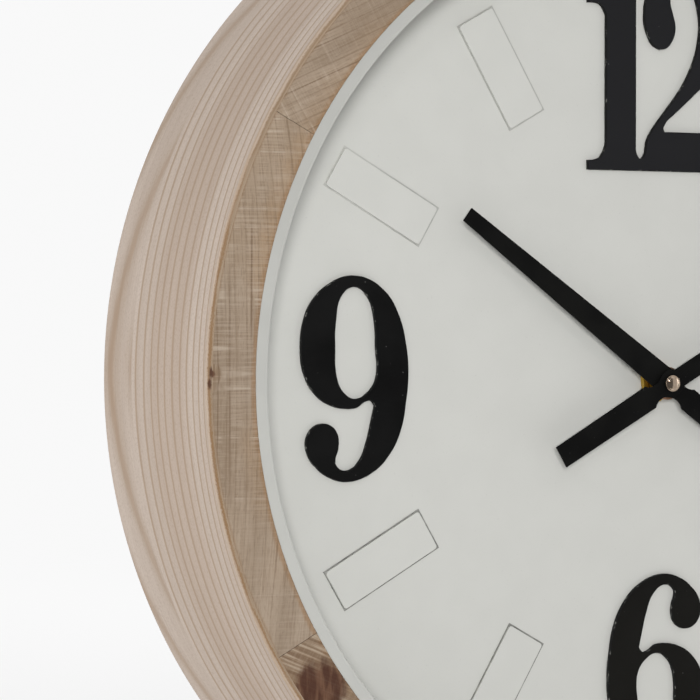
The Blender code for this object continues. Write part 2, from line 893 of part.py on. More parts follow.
def make_motion_work(minute_axis, hour_axis, setting_axis, finishes):
    """The wheels behind the dial that turn the hour hand at a twelfth of the speed."""
    brass, plastic, steel = finishes
    to_setting = full_turn / 2
    hour_module = motion_module * (cannon_teeth + minute_wheel_teeth)
    hour_module /= minute_pinion_teeth + hour_wheel_teeth
    setting_phase = in_mesh(to_setting, cannon_teeth, 0, minute_wheel_teeth)
    hour_phase = in_mesh(
        to_setting + full_turn / 2, minute_pinion_teeth, 0, hour_wheel_teeth
    )

    shoulder = -minute_hand_stand + seat_gap
    end = -minute_hand_stand - hand_thickness - cap_nut_rim
    rear = room_rear_y - seat_gap
    arbor = rod(
        "minute_arbor",
        [
            (thread_radius, end, shoulder),
            (arbor_radius, shoulder, rear),
            (pivot_radius, rear, rear + pivot_length - 2 * seat_gap),
        ],
    )
    cannon = pinion_on("cannon_pinion", 1, cannon_teeth, motion_module, 0)
    add_wheel("minute_arbor", minute_axis, steel, arbor, [cannon])

    pipe_end = -hour_hand_stand - hand_thickness - seat_gap
    pipe = rod(
        "hour_wheel", [(pipe_radius, pipe_end, level_y(0) + wheel_thickness)], 2 * bore_steps
    )
    disc = disc_on("hour_teeth", 0, hour_wheel_teeth, hour_module, hour_phase)
    hour_wheel = add_wheel("hour_wheel", hour_axis, plastic, pipe, [disc])
    lighten(hour_wheel, hour_axis, hour_wheel_teeth, hour_module, 0)
    high = level_y(0) + wheel_thickness + cut_overrun / 2
    bore = drill(
        "hour_pipe_bore", pipe_bore_radius, pipe_end - cut_overrun, high, hour_axis
    )
    cut(hour_wheel, bore)

    front = room_front_y + seat_gap
    knob_seat = case_rear_y + seat_gap
    bar = rod(
        "minute_wheel",
        [
            (pivot_radius, front - pivot_length + 2 * seat_gap, front),
            (wheel_arbor_radius, front, knob_seat + knob_height / 2),
        ],
    )
    discs = [
        pinion_on("minute_pinion", 0, minute_pinion_teeth, hour_module, 0),
        disc_on(
            "minute_wheel_teeth", 1, minute_wheel_teeth, motion_module, setting_phase
        ),
    ]
    wheel = add_wheel("minute_wheel", setting_axis, plastic, bar, discs)
    lighten(wheel, setting_axis, minute_wheel_teeth, motion_module, 1)
    make_knob(setting_axis, plastic, knob_seat)


def make_knob(axis, plastic, seat):
    """The fluted knob on the back that sets the hands."""
    outline = []
    pitch = full_turn / knob_flutes
    for i in range(knob_flutes):
        for radius, share in ((knob_radius, 0), (knob_radius - knob_flute_depth, 0.5)):
            angle = (i + share) * pitch
            outline.append((radius * math.cos(angle), radius * math.sin(angle)))
    knob = add(
        "setting_knob",
        plate("setting_knob", outline, seat, seat + knob_height),
        axis,
        plastic,
    )
    bore = drill(
        "setting_knob_bore",
        wheel_arbor_radius + seat_gap,
        seat - cut_overrun,
        seat + knob_height / 2 + seat_gap,
        axis,
    )
    cut(knob, bore)


def make_going_train(axes, steps, finishes):
    """From the centre wheel up to the stepping rotor, each wheel faster than the last."""
    brass, plastic, magnet = finishes
    to_third, to_second, to_fifth, to_rotor = steps
    third_phase = in_mesh(to_third, centre_wheel_teeth, 0, third_pinion_teeth)
    second_phase = in_mesh(to_second, third_wheel_teeth, 0, second_pinion_teeth)
    fifth_phase = in_mesh(to_fifth, second_wheel_teeth, 0, fifth_pinion_teeth)
    rotor_phase = in_mesh(to_rotor, fifth_wheel_teeth, 0, rotor_pinion_teeth)

    low = level_y(2) - pinion_overhang
    high = level_y(2) + wheel_thickness + pinion_overhang
    hub = rod("centre_wheel", [(centre_hub_radius, low, high)])
    disc = disc_on("centre_teeth", 2, centre_wheel_teeth, centre_module, 0)
    centre_wheel = add_wheel("centre_wheel", axes["centre"], brass, hub, [disc])
    lighten(centre_wheel, axes["centre"], centre_wheel_teeth, centre_module, 2)
    bore = drill(
        "centre_wheel_bore",
        arbor_radius + seat_gap,
        low - cut_overrun,
        high + cut_overrun,
        axes["centre"],
    )
    cut(centre_wheel, bore)

    third = [
        pinion_on("third_pinion", 2, third_pinion_teeth, centre_module, third_phase),
        disc_on("third_teeth", 3, third_wheel_teeth, third_module, 0),
    ]
    add_wheel("third_wheel", axes["third"], brass, pivoted_bar("third_wheel"), third)
    second = [
        pinion_on("second_pinion", 3, second_pinion_teeth, third_module, second_phase),
        disc_on("second_teeth", 4, second_wheel_teeth, second_module, 0),
    ]
    add_wheel("second_wheel", axes["second"], plastic, pivoted_bar("second_wheel"), second)
    fifth = [
        pinion_on("fifth_pinion", 4, fifth_pinion_teeth, second_module, fifth_phase),
        disc_on("fifth_teeth", 5, fifth_wheel_teeth, rotor_module, 0),
    ]
    add_wheel("fifth_wheel", axes["fifth"], plastic, pivoted_bar("fifth_wheel"), fifth)

    pinion = pinion_on("rotor_pinion", 5, rotor_pinion_teeth, rotor_module, rotor_phase)
    middle = stator_y() + stator_sheet / 2
    half = rotor_magnet_length / 2
    outline = circle(rotor_magnet_radius, bore_steps)
    drum = plate("rotor_magnet", outline, middle - half, middle + half)
    add_wheel("rotor", axes["rotor"], magnet, pivoted_bar("rotor"), [drum, pinion])


def stator_y():
    """Front face of the stator, level with the third wheel."""
    return level_y(3) - seat_gap


def make_motor(movement_axis, rotor_place, finishes):
    """The stator plate, its coil on a flat iron core, as stepping motors have them."""
    iron, copper = finishes
    low = stator_y()
    left = -room_half_width + coil_wall_inset - stator_arm / 2
    core_x = -room_half_width + coil_wall_inset
    right = rotor_place[0] + rotor_magnet_radius + rotor_gap + stator_wall
    arm_right = left + coil_flange_radius * 2 + stator_arm
    arm_left = arm_right - stator_arm
    floor = rotor_place[1] - rotor_magnet_radius - rotor_gap - stator_wall
    outline = [
        (left, stator_top),
        (right, stator_top),
        (right, floor),
        (arm_right, floor),
        (arm_right, coil_low),
        (left, coil_low),
        (left, coil_low + stator_arm),
        (arm_left, coil_low + stator_arm),
        (arm_left, stator_top - stator_arm),
        (left, stator_top - stator_arm),
    ]
    stator = add(
        "stator", plate("stator", outline, low, low + stator_sheet), movement_axis, iron
    )
    hole = drill(
        "stator_hole",
        rotor_magnet_radius + rotor_gap,
        low - cut_overrun,
        low + stator_sheet + cut_overrun,
        movement_axis,
        (rotor_place[0], 0, rotor_place[1]),
        2 * bore_steps,
    )
    cut(stator, hole)

    core_low = low + stator_sheet + seat_gap
    half = coil_core_width / 2
    core = [
        (core_x - half, coil_low),
        (core_x + half, coil_low),
        (core_x + half, stator_top),
        (core_x - half, stator_top),
    ]
    add(
        "coil_core",
        plate("coil_core", core, core_low, core_low + coil_core_sheet),
        movement_axis,
        iron,
    )
    make_coil(movement_axis, copper, core_x, core_low)


def make_coil(axis, copper, core_x, core_low):
    """The winding on its flanged bobbin, which the core passes through."""
    low = coil_low + stator_arm + seat_gap
    high = stator_top - stator_arm - seat_gap
    profile = [
        (0, low),
        (coil_flange_radius, low),
        (coil_flange_radius, low + coil_flange),
        (coil_radius, low + coil_flange),
        (coil_radius, high - coil_flange),
        (coil_flange_radius, high - coil_flange),
        (coil_flange_radius, high),
        (0, high),
    ]
    data = turned("coil", profile, bore_steps)
    # Spun about Y, then stood up along Z.
    data.transform(Matrix.Rotation(full_turn / 4, 4, "X"))
    middle_y = core_low + coil_core_sheet / 2
    coil = add("coil", data, axis, copper, place=(core_x, middle_y, 0))
    wide = coil_core_width / 2 + seat_gap
    slot = [
        (core_x - wide, low - cut_overrun),
        (core_x + wide, low - cut_overrun),
        (core_x + wide, high + cut_overrun),
        (core_x - wide, high + cut_overrun),
    ]
    front = core_low - seat_gap
    rear = core_low + coil_core_sheet + seat_gap
    cut(coil, cutter("coil_slot", plate("coil_slot", slot, front, rear), axis))


def make_case(axis, plastic, holes, posts):
    """Two moulded halves round one room for the wheels and an open bay for the battery."""
    half = room_half_width + case_wall
    outline = rounded_rectangle(half, -half, half, case_corner)
    front = add(
        "case_front",
        plate("case_front", outline, case_front_y, case_split_y),
        axis,
        plastic,
    )
    rear = add(
        "case_back",
        plate("case_back", outline, case_split_y + seat_gap, case_rear_y),
        axis,
        plastic,
    )
    inner = case_corner - case_wall
    room = rounded_rectangle(room_half_width, room_floor_z, room_half_width, inner)
    bay_top = room_floor_z - battery_wall
    bay = rounded_rectangle(room_half_width, -room_half_width, bay_top, inner)
    tools = [
        cutter("wheel_room", plate("wheel_room", room, room_front_y, room_rear_y), axis),
        cutter(
            "battery_bay",
            plate("battery_bay", bay, room_front_y, case_rear_y + cut_overrun),
            axis,
        ),
    ]
    cut(front, *tools)
    cut(rear, *tools)
    for name, (x, z), top in posts:
        data = plate(
            name, circle(post_radius, bore_steps, (x, z)), room_front_y - case_wall / 2, top
        )
        join(front, hidden_helper(add(name, data, axis, None)))
    cut(front, *holes["front"])
    cut(rear, *holes["rear"])


def make_battery(axis, finishes):
    """One AA cell lying along X, with its nub to the right, and a contact at each end."""
    jacket, steel = finishes
    half = battery_length / 2
    soften = battery_rim_round
    profile = [
        (0, -half),
        (battery_radius - soften, -half),
        (battery_radius, soften - half),
        (battery_radius, half - soften),
        (battery_radius - soften, half),
        (battery_nub_radius, half),
        (battery_nub_radius, half + battery_nub_length),
        (0, half + battery_nub_length),
    ]
    data = turned("battery", profile, battery_steps)
    data.transform(Matrix.Rotation(-full_turn / 4, 4, "Z"))
    middle_y = room_front_y + seat_gap + battery_radius
    middle_x = half + contact_stack - room_half_width
    add("battery", data, axis, jacket, place=(middle_x, middle_y, battery_z))

    for name, side in (("contact_plus", 1), ("contact_minus", -1)):
        sheet = contact_sheet
        bump = contact_bump_height + sheet / 2
        profile = [
            (0, 0),
            (contact_bump_radius, 0),
            (contact_bump_radius * contact_bump_crown_share, bump),
            (0, bump),
        ]
        tongue = turned(f"{name}_bump", profile, bore_steps)
        tongue.transform(Matrix.Rotation(side * full_turn / 4, 4, "Z"))
        outline = rounded_rectangle(
            contact_width / 2, -contact_height / 2, contact_height / 2, soften
        )
        data = plate(name, outline, -sheet / 2, sheet / 2)
        data.transform(Matrix.Rotation(full_turn / 4, 4, "Z"))
        place = (side * (room_half_width - seat_gap - sheet / 2), middle_y, battery_z)
        contact = add(name, data, axis, steel, place=place)
        join(contact, hidden_helper(add(f"{name}_bump", tongue, axis, None, place=place)))


def make_circuit(axis, finishes):
    """The driver board in a free corner of the case, with its quartz crystal."""
    board_green, steel = finishes
    right = room_half_width - circuit_board_inset
    top = right
    low = room_front_y + circuit_board_stand
    outline = [
        (right - circuit_board_width, top - circuit_board_height),
        (right, top - circuit_board_height),
        (right, top),
        (right - circuit_board_width, top),
    ]
    high = low + circuit_board_thickness
    add("circuit_board", plate("circuit_board", outline, low, high), axis, board_green)
    can = rod(
        "quartz_crystal",
        [(crystal_radius, -crystal_length / 2, crystal_length / 2)],
        fine_steps,
    )
    can.transform(Matrix.Rotation(full_turn / 4, 4, "Z"))
    place = (
        right - circuit_board_width / 2,
        high + seat_gap + crystal_radius,
        top - crystal_inset,
    )
    add("quartz_crystal", can, axis, steel, place=place)


def step_from(place, distance, direction):
    """The (x, z) place at a distance and direction from another."""
    return (
        place[0] + distance * math.cos(direction),
        place[1] + distance * math.sin(direction),
    )


def build():
    clear_scene()
    hoop_wood = material("hoop fir", (0.53, 0.43, 0.35), 0.65)
    stave_wood = material("stave fir", (0.36, 0.27, 0.20), 0.7)
    white = material("white paint", (0.58, 0.58, 0.55), 0.5)
    black = material("black paint", (0.012, 0.012, 0.012), 0.55)
    hand_black = material("hand black", (0.010, 0.010, 0.010), 0.5)
    copper_plate = material("cap nut plating", (0.72, 0.50, 0.38), 0.25, 1.0)
    brass = material("brass", (0.66, 0.47, 0.16), 0.3, 1.0)
    zinc = material("zinc plated steel", (0.60, 0.60, 0.58), 0.35, 1.0)
    rubber = material("gasket rubber", (0.02, 0.02, 0.02), 0.8)
    case_black = material("case plastic", (0.025, 0.025, 0.027), 0.45)
    wheel_white = material("wheel plastic", (0.75, 0.73, 0.66), 0.4)
    magnet = material("rotor magnet", (0.09, 0.085, 0.08), 0.4, 0.3)
    iron = material("stator iron", (0.42, 0.42, 0.42), 0.4, 1.0)
    copper = material("coil copper", (0.55, 0.20, 0.09), 0.35, 1.0)
    jacket = material("battery jacket", (0.10, 0.10, 0.11), 0.35)
    green = material("circuit board", (0.02, 0.12, 0.05), 0.5)

    hook_rise = hanger_middle() + keyhole_drop / 2
    centre = empty("dial_centre", None, (0, -rear_y, -hook_rise))
    movement = empty("movement_axis", centre, (0, 0, -arbor_drop))
    minute_axis = empty("minute_axis", movement)
    hour_axis = empty("hour_axis", movement)

    pitch = full_turn / stave_count
    seats = [polar(screw_circle_radius, pitch * (i + 0.5)) for i in range(stave_count)]
    board_holes = screw_holes_at("board_screw_hole", seats, board_thickness, centre)
    hanger_x = hanger_width / 2 - hanger_screw_inset
    hanger_seats = [(hanger_x, hanger_middle()), (-hanger_x, hanger_middle())]
    hanger_seat_y = stave_rear_y + seat_gap + hanger_sheet + seat_gap
    hanger_holes = screw_holes_at("hanger_hole", hanger_seats, hanger_seat_y, centre)

    make_hoop(centre, hoop_wood)
    make_staves(centre, stave_wood, board_holes, hanger_holes)
    make_lining(centre, white)
    make_board(centre, movement, white, board_holes)
    names = [f"board_screw_{2 * i + 1:02d}" for i in range(stave_count)]
    add_screws(names, seats, board_thickness + seat_gap, centre, zinc)
    make_batons(centre, white)
    make_numerals(centre, black)
    make_hanger(centre, zinc, hanger_holes)
    names = ["hanger_screw_right", "hanger_screw_left"]
    add_screws(names, hanger_seats, hanger_seat_y, centre, zinc)

    make_fixing_nut(movement, brass)
    make_bushing_and_gasket(movement, brass, rubber)
    make_hands(minute_axis, hour_axis, hand_black)
    make_collet(hour_axis, copper_plate)
    make_cap_nut(minute_axis, copper_plate)

    degrees = full_turn / 360
    to_third, to_second, to_fifth, to_rotor = (
        40 * degrees,
        150 * degrees,
        165 * degrees,
        180 * degrees,
    )
    motion_distance = (cannon_teeth + minute_wheel_teeth) * motion_module / 2
    setting_place = step_from((0, 0), motion_distance, full_turn / 2)
    third_distance = (centre_wheel_teeth + third_pinion_teeth) * centre_module / 2
    third_place = step_from((0, 0), third_distance, to_third)
    second_distance = (third_wheel_teeth + second_pinion_teeth) * third_module / 2
    second_place = step_from(third_place, second_distance, to_second)
    fifth_distance = (second_wheel_teeth + fifth_pinion_teeth) * second_module / 2
    fifth_place = step_from(second_place, fifth_distance, to_fifth)
    rotor_distance = (fifth_wheel_teeth + rotor_pinion_teeth) * rotor_module / 2
    rotor_place = step_from(fifth_place, rotor_distance, to_rotor)
    places = {
        "centre": (0, 0),
        "third": third_place,
        "second": second_place,
        "fifth": fifth_place,
        "rotor": rotor_place,
    }
    axes = {
        name: empty(f"{name}_axis", movement, (x, 0, z)) for name, (x, z) in places.items()
    }
    setting_axis = empty(
        "setting_axis", movement, (setting_place[0], 0, setting_place[1])
    )
    make_motion_work(minute_axis, hour_axis, setting_axis, (brass, wheel_white, zinc))
    make_going_train(
        axes, (to_third, to_second, to_fifth, to_rotor), (brass, wheel_white, magnet)
    )
    make_motor(movement, rotor_place, (iron, copper))

    pivots = [pivot_hole(f"{name}_pivot_hole", axes[name]) for name in places]
    setting_pivot = pivot_hole("setting_pivot_hole", setting_axis)
    knob_hole = drill(
        "setting_arbor_hole",
        wheel_arbor_radius + seat_gap,
        room_rear_y - cut_overrun,
        case_rear_y + cut_overrun,
        setting_axis,
    )
    bushing_hole = drill(
        "bushing_hole",
        bushing_radius + seat_gap,
        case_front_y - cut_overrun,
        room_front_y + cut_overrun,
        movement,
        steps=2 * bore_steps,
    )
    post_x = -room_half_width + coil_wall_inset
    post_top = stator_y() - seat_gap
    board_right = room_half_width - circuit_board_inset
    board_top = room_front_y + circuit_board_stand - seat_gap
    posts = [
        ("stator_post_high", (post_x, stator_top - stator_arm / 2), post_top),
        ("stator_post_low", (post_x, coil_low + stator_arm / 2), post_top),
        (
            "board_post_right",
            (board_right - 2 * post_radius, board_right - circuit_board_height / 2),
            board_top,
        ),
        (
            "board_post_left",
            (
                board_right - circuit_board_width + 2 * post_radius,
                board_right - circuit_board_height / 2,
            ),
            board_top,
        ),
    ]
    holes = {
        "front": [bushing_hole, setting_pivot, *pivots[1:]],
        "rear": [knob_hole, *pivots],
    }
    make_case(movement, case_black, holes, posts)
    make_battery(movement, (jacket, zinc))
    make_circuit(movement, (green, zinc))


build()
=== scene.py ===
import math

import bmesh
import bpy
from mathutils import Matrix, Vector


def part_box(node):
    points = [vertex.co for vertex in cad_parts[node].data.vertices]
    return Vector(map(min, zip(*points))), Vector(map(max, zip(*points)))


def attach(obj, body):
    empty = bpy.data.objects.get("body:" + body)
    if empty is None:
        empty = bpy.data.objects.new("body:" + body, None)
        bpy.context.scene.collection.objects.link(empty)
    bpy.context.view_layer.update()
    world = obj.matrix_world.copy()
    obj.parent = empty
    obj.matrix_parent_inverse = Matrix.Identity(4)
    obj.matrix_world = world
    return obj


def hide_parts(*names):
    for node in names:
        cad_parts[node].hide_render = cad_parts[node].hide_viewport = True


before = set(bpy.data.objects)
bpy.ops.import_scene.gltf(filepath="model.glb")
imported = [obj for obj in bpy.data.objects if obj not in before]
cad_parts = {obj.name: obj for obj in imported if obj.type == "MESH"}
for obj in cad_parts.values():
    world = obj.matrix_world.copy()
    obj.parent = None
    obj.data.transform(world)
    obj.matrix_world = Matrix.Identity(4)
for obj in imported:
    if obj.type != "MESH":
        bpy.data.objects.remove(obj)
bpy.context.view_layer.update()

# The photograph's point of view
# A long lens stands a metre from the hub, thirty degrees to the left of the dial's axis and
# level with it, so that the left half of the clock fills the picture.
hoop_low, hoop_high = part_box("hoop")
board_low, board_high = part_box("dial_board")
centre = Vector((0, board_low.y, (hoop_low.z + hoop_high.z) / 2))
camera_stand = Vector((-0.5000, -0.8630, 0.0182))
camera_turn = math.radians(-23.66)
camera_tilt = math.radians(-0.50)
camera_roll = math.radians(-0.018)
focal_pixels = 2707
picture_pixels = 700
sensor_width = 36

lens = bpy.data.cameras.new("camera")
lens.sensor_width = sensor_width
lens.lens = focal_pixels * sensor_width / picture_pixels
lens.clip_start = 0.01
camera = bpy.data.objects.new("camera", lens)
upright = Matrix.Rotation(math.radians(90), 4, "X")
aim = (
    Matrix.Rotation(camera_turn, 4, "Z")
    @ Matrix.Rotation(camera_tilt, 4, "X")
    @ Matrix.Rotation(camera_roll, 4, "Y")
)
camera.matrix_world = Matrix.Translation(centre + camera_stand) @ aim @ upright
bpy.context.scene.collection.objects.link(camera)
bpy.context.scene.camera = camera
bpy.context.scene.view_settings.view_transform = "Standard"

# Floor, backdrop and light
# A pale floor fades into plain white. A softbox beside the camera lights the front, four more the
# sides, top and back, and a small lamp and a dark screen give polished metal its reflections.
same_point = 1e-7
noise_spread = (0.3, 0.7)
floor_radius = 9.0
floor_steps = 96
floor_shade = 0.25
floor_fade_from = 0.35
floor_fade_to = 1.5
backdrop_white = 0.945
floor_glow = 0.64
floor_bounce = 0.45
room_light = 0.30
screen_light = 0.12
screen_side = Vector((0.9986, -0.052, 0))
screen_middle = -0.20
screen_half_width = 0.64
screen_soft_share = 0.7
screen_wing = 0.5
screen_wing_ends = (0.85, 0.95)
screen_top_ends = (0.70, 0.90)

# Each lamp's stand from the hub, its width, its watts and whether reflections show it
lamps = {
    "front_softbox": ((-0.82, -1.65, 0.15), 0.30, 19.2, False),
    "glint_softbox": ((-0.67, -1.84, 1.00), 0.22, 2, True),
    "left_softbox": ((-2.00, 0.00, 0.10), 0.8, 11.5, True),
    "right_softbox": ((1.95, 0.10, 0.45), 1.0, 16, True),
    "rear_softbox": ((0.70, 1.90, 0.90), 1.2, 26, True),
    "top_softbox": ((0.80, 0.40, 1.90), 1.0, 12, True),
}


class Wire:
    """One socket of a finish. Sums on it add the nodes that work them out."""

    def __init__(self, finish, socket):
        self.finish = finish
        self.socket = socket

    def maths(self, operation, left, right=0.0):
        return self.finish.node("Math", {"operation": operation}, {0: left, 1: right})

    def __add__(self, other):
        return self.maths("ADD", self, other)

    def __radd__(self, other):
        return self.maths("ADD", other, self)

    def __sub__(self, other):
        return self.maths("SUBTRACT", self, other)

    def __rsub__(self, other):
        return self.maths("SUBTRACT", other, self)

    def __mul__(self, other):
        return self.maths("MULTIPLY", self, other)

    def __rmul__(self, other):
        return self.maths("MULTIPLY", other, self)

    def __truediv__(self, other):
        return self.maths("DIVIDE", self, other)

    def __rtruediv__(self, other):
        return self.maths("DIVIDE", other, self)

    def __abs__(self):
        return self.maths("ABSOLUTE", self)

    def fraction(self):
        return self.maths("FRACT", self)

    def root(self):
        return self.maths("SQRT", self)

    def larger(self, other):
        return self.maths("MAXIMUM", self, other)

    def rise(self, low, high):
        """0 below low and 1 above high, with a smooth step between them."""
        return self.finish.node(
            "MapRange",
            {"interpolation_type": "SMOOTHSTEP"},
            {"Value": self, "From Min": low, "From Max": high},
        )


class Finish:
    """A material, or the room's own light, and the nodes that it is made of."""

    def __init__(self, owner, **fixed):
        self.owner = owner
        owner.use_nodes = True
        self.tree = owner.node_tree
        self.shader = self.tree.nodes.get("Principled BSDF")
        for socket, value in fixed.items():
            self.shader.inputs[socket.replace("_", " ")].default_value = value

    def node(self, kind, settings=None, sockets=None, output=0):
        made = self.tree.nodes.new("ShaderNode" + kind)
        for setting, value in (settings or {}).items():
            setattr(made, setting, value)
        for socket, value in (sockets or {}).items():
            if isinstance(value, Wire):
                self.tree.links.new(value.socket, made.inputs[socket])
            else:
                made.inputs[socket].default_value = value
        return Wire(self, made.outputs[output])

    def feed(self, **links):
        for socket, wire in links.items():
            self.tree.links.new(wire.socket, self.shader.inputs[socket.replace("_", " ")])

    def surface(self, wire):
        kind = "World" if isinstance(self.owner, bpy.types.World) else "Material"
        self.tree.links.new(wire.socket, self.tree.nodes[f"{kind} Output"].inputs["Surface"])

    def place(self):
        return self.node("TexCoord", output=3)

    def parts(self, vector):
        return [self.node("SeparateXYZ", sockets={0: vector}, output=i) for i in range(3)]

    def away(self, vector, spot):
        """How far a place lies from a spot."""
        return self.node("VectorMath", {"operation": "DISTANCE"}, {0: vector, 1: spot}, output=1)

    def stretched(self, place, scale, shift=(0, 0, 0)):
        return self.node("Mapping", sockets={"Vector": place, "Scale": scale, "Location": shift})

    def noise(self, place, scale=1.0, detail=2.0, rough=0.5):
        return self.node(
            "TexNoise",
            sockets={"Vector": place, "Scale": scale, "Detail": detail, "Roughness": rough},
        )

    def blend(self, share, first, second):
        return self.node(
            "Mix", {"data_type": "RGBA"}, {0: share, 6: first, 7: second}, output=2
        )

    def mottled(self, noise, first, second):
        """A colour that wanders between two as the noise does."""
        return self.blend(noise.rise(*noise_spread), first, second)

    def bump(self, height, depth):
        return self.node("Bump", sockets={"Height": height, "Distance": depth})


def new_finish(name, **fixed):
    return Finish(bpy.data.materials.new(name), **fixed)


def seen_directly(finish):
    """1 on what the camera sees, straight or by reflection, and 0 on what only lights."""
    camera_ray = finish.node("LightPath", output="Is Camera Ray")
    glossy_ray = finish.node("LightPath", output="Is Glossy Ray")
    clear_ray = finish.node("LightPath", output="Is Transmission Ray")
    return camera_ray.larger(glossy_ray).larger(clear_ray)


room = Finish(bpy.data.worlds.new("room"))
bpy.context.scene.world = room.owner
lit = room.node("Background", sockets={"Color": (1, 1, 1, 1), "Strength": room_light})
white = room.node("Background", sockets={"Color": (1, 1, 1, 1), "Strength": backdrop_white})
dim = room.node("Background", sockets={"Color": (1, 1, 1, 1), "Strength": screen_light})
sight = room.node("TexCoord", output=0)
beside = room.node(
    "VectorMath", {"operation": "DOT_PRODUCT"}, {0: sight, 1: screen_side}, output=1
)
ahead = (0 - room.parts(sight)[1]).rise(0, 0.2)
off_screen = abs(beside - screen_middle)
screen = 1 - off_screen.rise(screen_half_width * screen_soft_share, screen_half_width)
wing = beside.rise(0, 0.1) * (1 - beside.rise(*screen_wing_ends)) * screen_wing
screen = screen.larger(wing)
screen = screen * (1 - abs(room.parts(sight)[2]).rise(*screen_top_ends))
screen = screen * ahead * room.node("LightPath", output="Is Glossy Ray")
shown = room.node("MixShader", sockets={0: screen, 1: white, 2: dim})
room.surface(room.node("MixShader", sockets={0: seen_directly(room), 1: lit, 2: shown}))

pale_floor = new_finish("pale_floor")
seen = seen_directly(pale_floor)
matt = pale_floor.node("BsdfDiffuse", sockets={"Color": (floor_shade,) * 3 + (1,)})
bounce = pale_floor.node("Emission", sockets={"Strength": floor_bounce})
glow = pale_floor.node("Emission", sockets={"Strength": floor_glow})
blank = pale_floor.node("Emission", sockets={"Strength": backdrop_white})
glow = pale_floor.node("MixShader", sockets={0: seen, 1: bounce, 2: glow})
near = pale_floor.node("AddShader", sockets={0: matt, 1: glow})
far = pale_floor.node("MixShader", sockets={0: seen, 1: bounce, 2: blank})
fade = pale_floor.away(pale_floor.place(), Vector((0, 0, hoop_low.z)))
fade = fade.rise(floor_fade_from, floor_fade_to)
pale_floor.surface(pale_floor.node("MixShader", sockets={0: fade, 1: near, 2: far}))

ground = bmesh.new()
bmesh.ops.create_circle(
    ground,
    cap_ends=True,
    radius=floor_radius,
    segments=floor_steps,
    matrix=Matrix.Translation((0, 0, hoop_low.z)),
)
floor_mesh = bpy.data.meshes.new("floor")
ground.to_mesh(floor_mesh)
ground.free()
floor_mesh.materials.append(pale_floor.owner)
floor = bpy.data.objects.new("floor", floor_mesh)
bpy.context.scene.collection.objects.link(floor)
floor.visible_glossy = False

for name, (stand, width, watts, in_reflections) in lamps.items():
    softbox = bpy.data.lights.new(name, "AREA")
    softbox.size = width
    softbox.energy = watts
    lamp = bpy.data.objects.new(name, softbox)
    facing = (-Vector(stand)).to_track_quat("-Z", "Y").to_matrix().to_4x4()
    lamp.matrix_world = Matrix.Translation(centre + Vector(stand)) @ facing
    lamp.visible_glossy = in_reflections
    bpy.context.scene.collection.objects.link(lamp)

# Staves of the ring
# Six blocks of weathered fir are butted end to end inside the hoop, two of their joints a little
# off the even spacing. Their front is rough from the saw, and its edges are sanded down to brown.
ring_steps = 240
stave_steps = 40
seat_gap = 0.0003
hoop_thickness = 0.0022
hoop_outer = hoop_high.x - 20 * same_point
frame_flare = 0.0110
flare = math.atan2(frame_flare, hoop_high.y - hoop_low.y)
front_y = hoop_low.y
bore_radius = 0.1713
rebate_radius = 0.1780
stave_round = 0.0004
stave_softening = 0.00010
stave_joint = 0.00012
joint_slips = {8: math.radians(0.8), 10: math.radians(-1.5)}
stave_back_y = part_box("stave_09")[1].y
ledge_y = board_low.y - seat_gap
stave_hours = [1 + 2 * i for i in range(6)]
grain_bow = 0.65
ring_spacing = 0.0035
sawn_middle = Vector((-0.18, front_y, centre.z + 0.035))
sawn_reach = (0.045, 0.095)
shaded_middle = Vector((-0.18, front_y, centre.z - 0.010))
shaded_reach = (0.015, 0.045)
shaded_top = (0.150, 0.175)
plain_below = (-0.085, -0.045)
sanded_edge = (0.1707, 0.1720)
tan_edge = (0.1715, 0.1780)
glued_edge = (0.1874, 0.1884)

# Each knot's place in its plank and its radius. Whole metres tell the six planks apart.
knots = (
    (Vector((3.0775, 3.1624, front_y)), 0.0115),
    (Vector((4.0026, 4.1870, front_y)), 0.0017),
    (Vector((3.9984, 4.1878, front_y)), 0.0011),
    (Vector((0.0392, 0.1762, front_y)), 0.0050),
    (Vector((2.0549, 2.1750, front_y)), 0.0060),
)

# Two dark growth lines of the stave at nine: place across, middle, half length and strength
growth_lines = ((4.1729, 4.034, 0.026, 0.65), (4.1805, 4.0, 0.045, 0.45))


def frame_radius(y):
    """The outside of the hoop, which flares towards the wall."""
    return hoop_outer - (hoop_high.y - y) * math.tan(flare)


def arc(corner, radius, start, steps=6, sweep=math.pi / 2):
    """Points of a rounded (radius, y) profile."""
    return [
        (
            corner[0] + radius * math.cos(start + sweep * i / steps),
            corner[1] + radius * math.sin(start + sweep * i / steps),
        )
        for i in range(steps + 1)
    ]


def spun(profile, steps=ring_steps, start=0.0, sweep=math.tau, hub=centre):
    """Spins (radius, y) points round the dial's axis, clockwise from twelve o'clock."""
    shape = bmesh.new()
    turn = Matrix.Rotation(start, 3, "Y")
    rim = [shape.verts.new(turn @ Vector((0, y - hub.y, r)) + hub) for r, y in profile]
    on_axis = profile[0][0] == 0 and profile[-1][0] == 0
    pairs = list(zip(rim, rim[1:] + rim[:1]))
    if on_axis:
        pairs.pop()
    edges = [shape.edges.new(pair) for pair in pairs]
    bmesh.ops.spin(
        shape,
        geom=rim + edges,
        cent=hub,
        axis=(0, 1, 0),
        angle=sweep,
        steps=steps,
        use_merge=sweep == math.tau,
    )
    if sweep != math.tau:
        ends = [edge for edge in shape.edges if edge.is_boundary]
        bmesh.ops.holes_fill(shape, edges=ends, sides=0)
    return shape


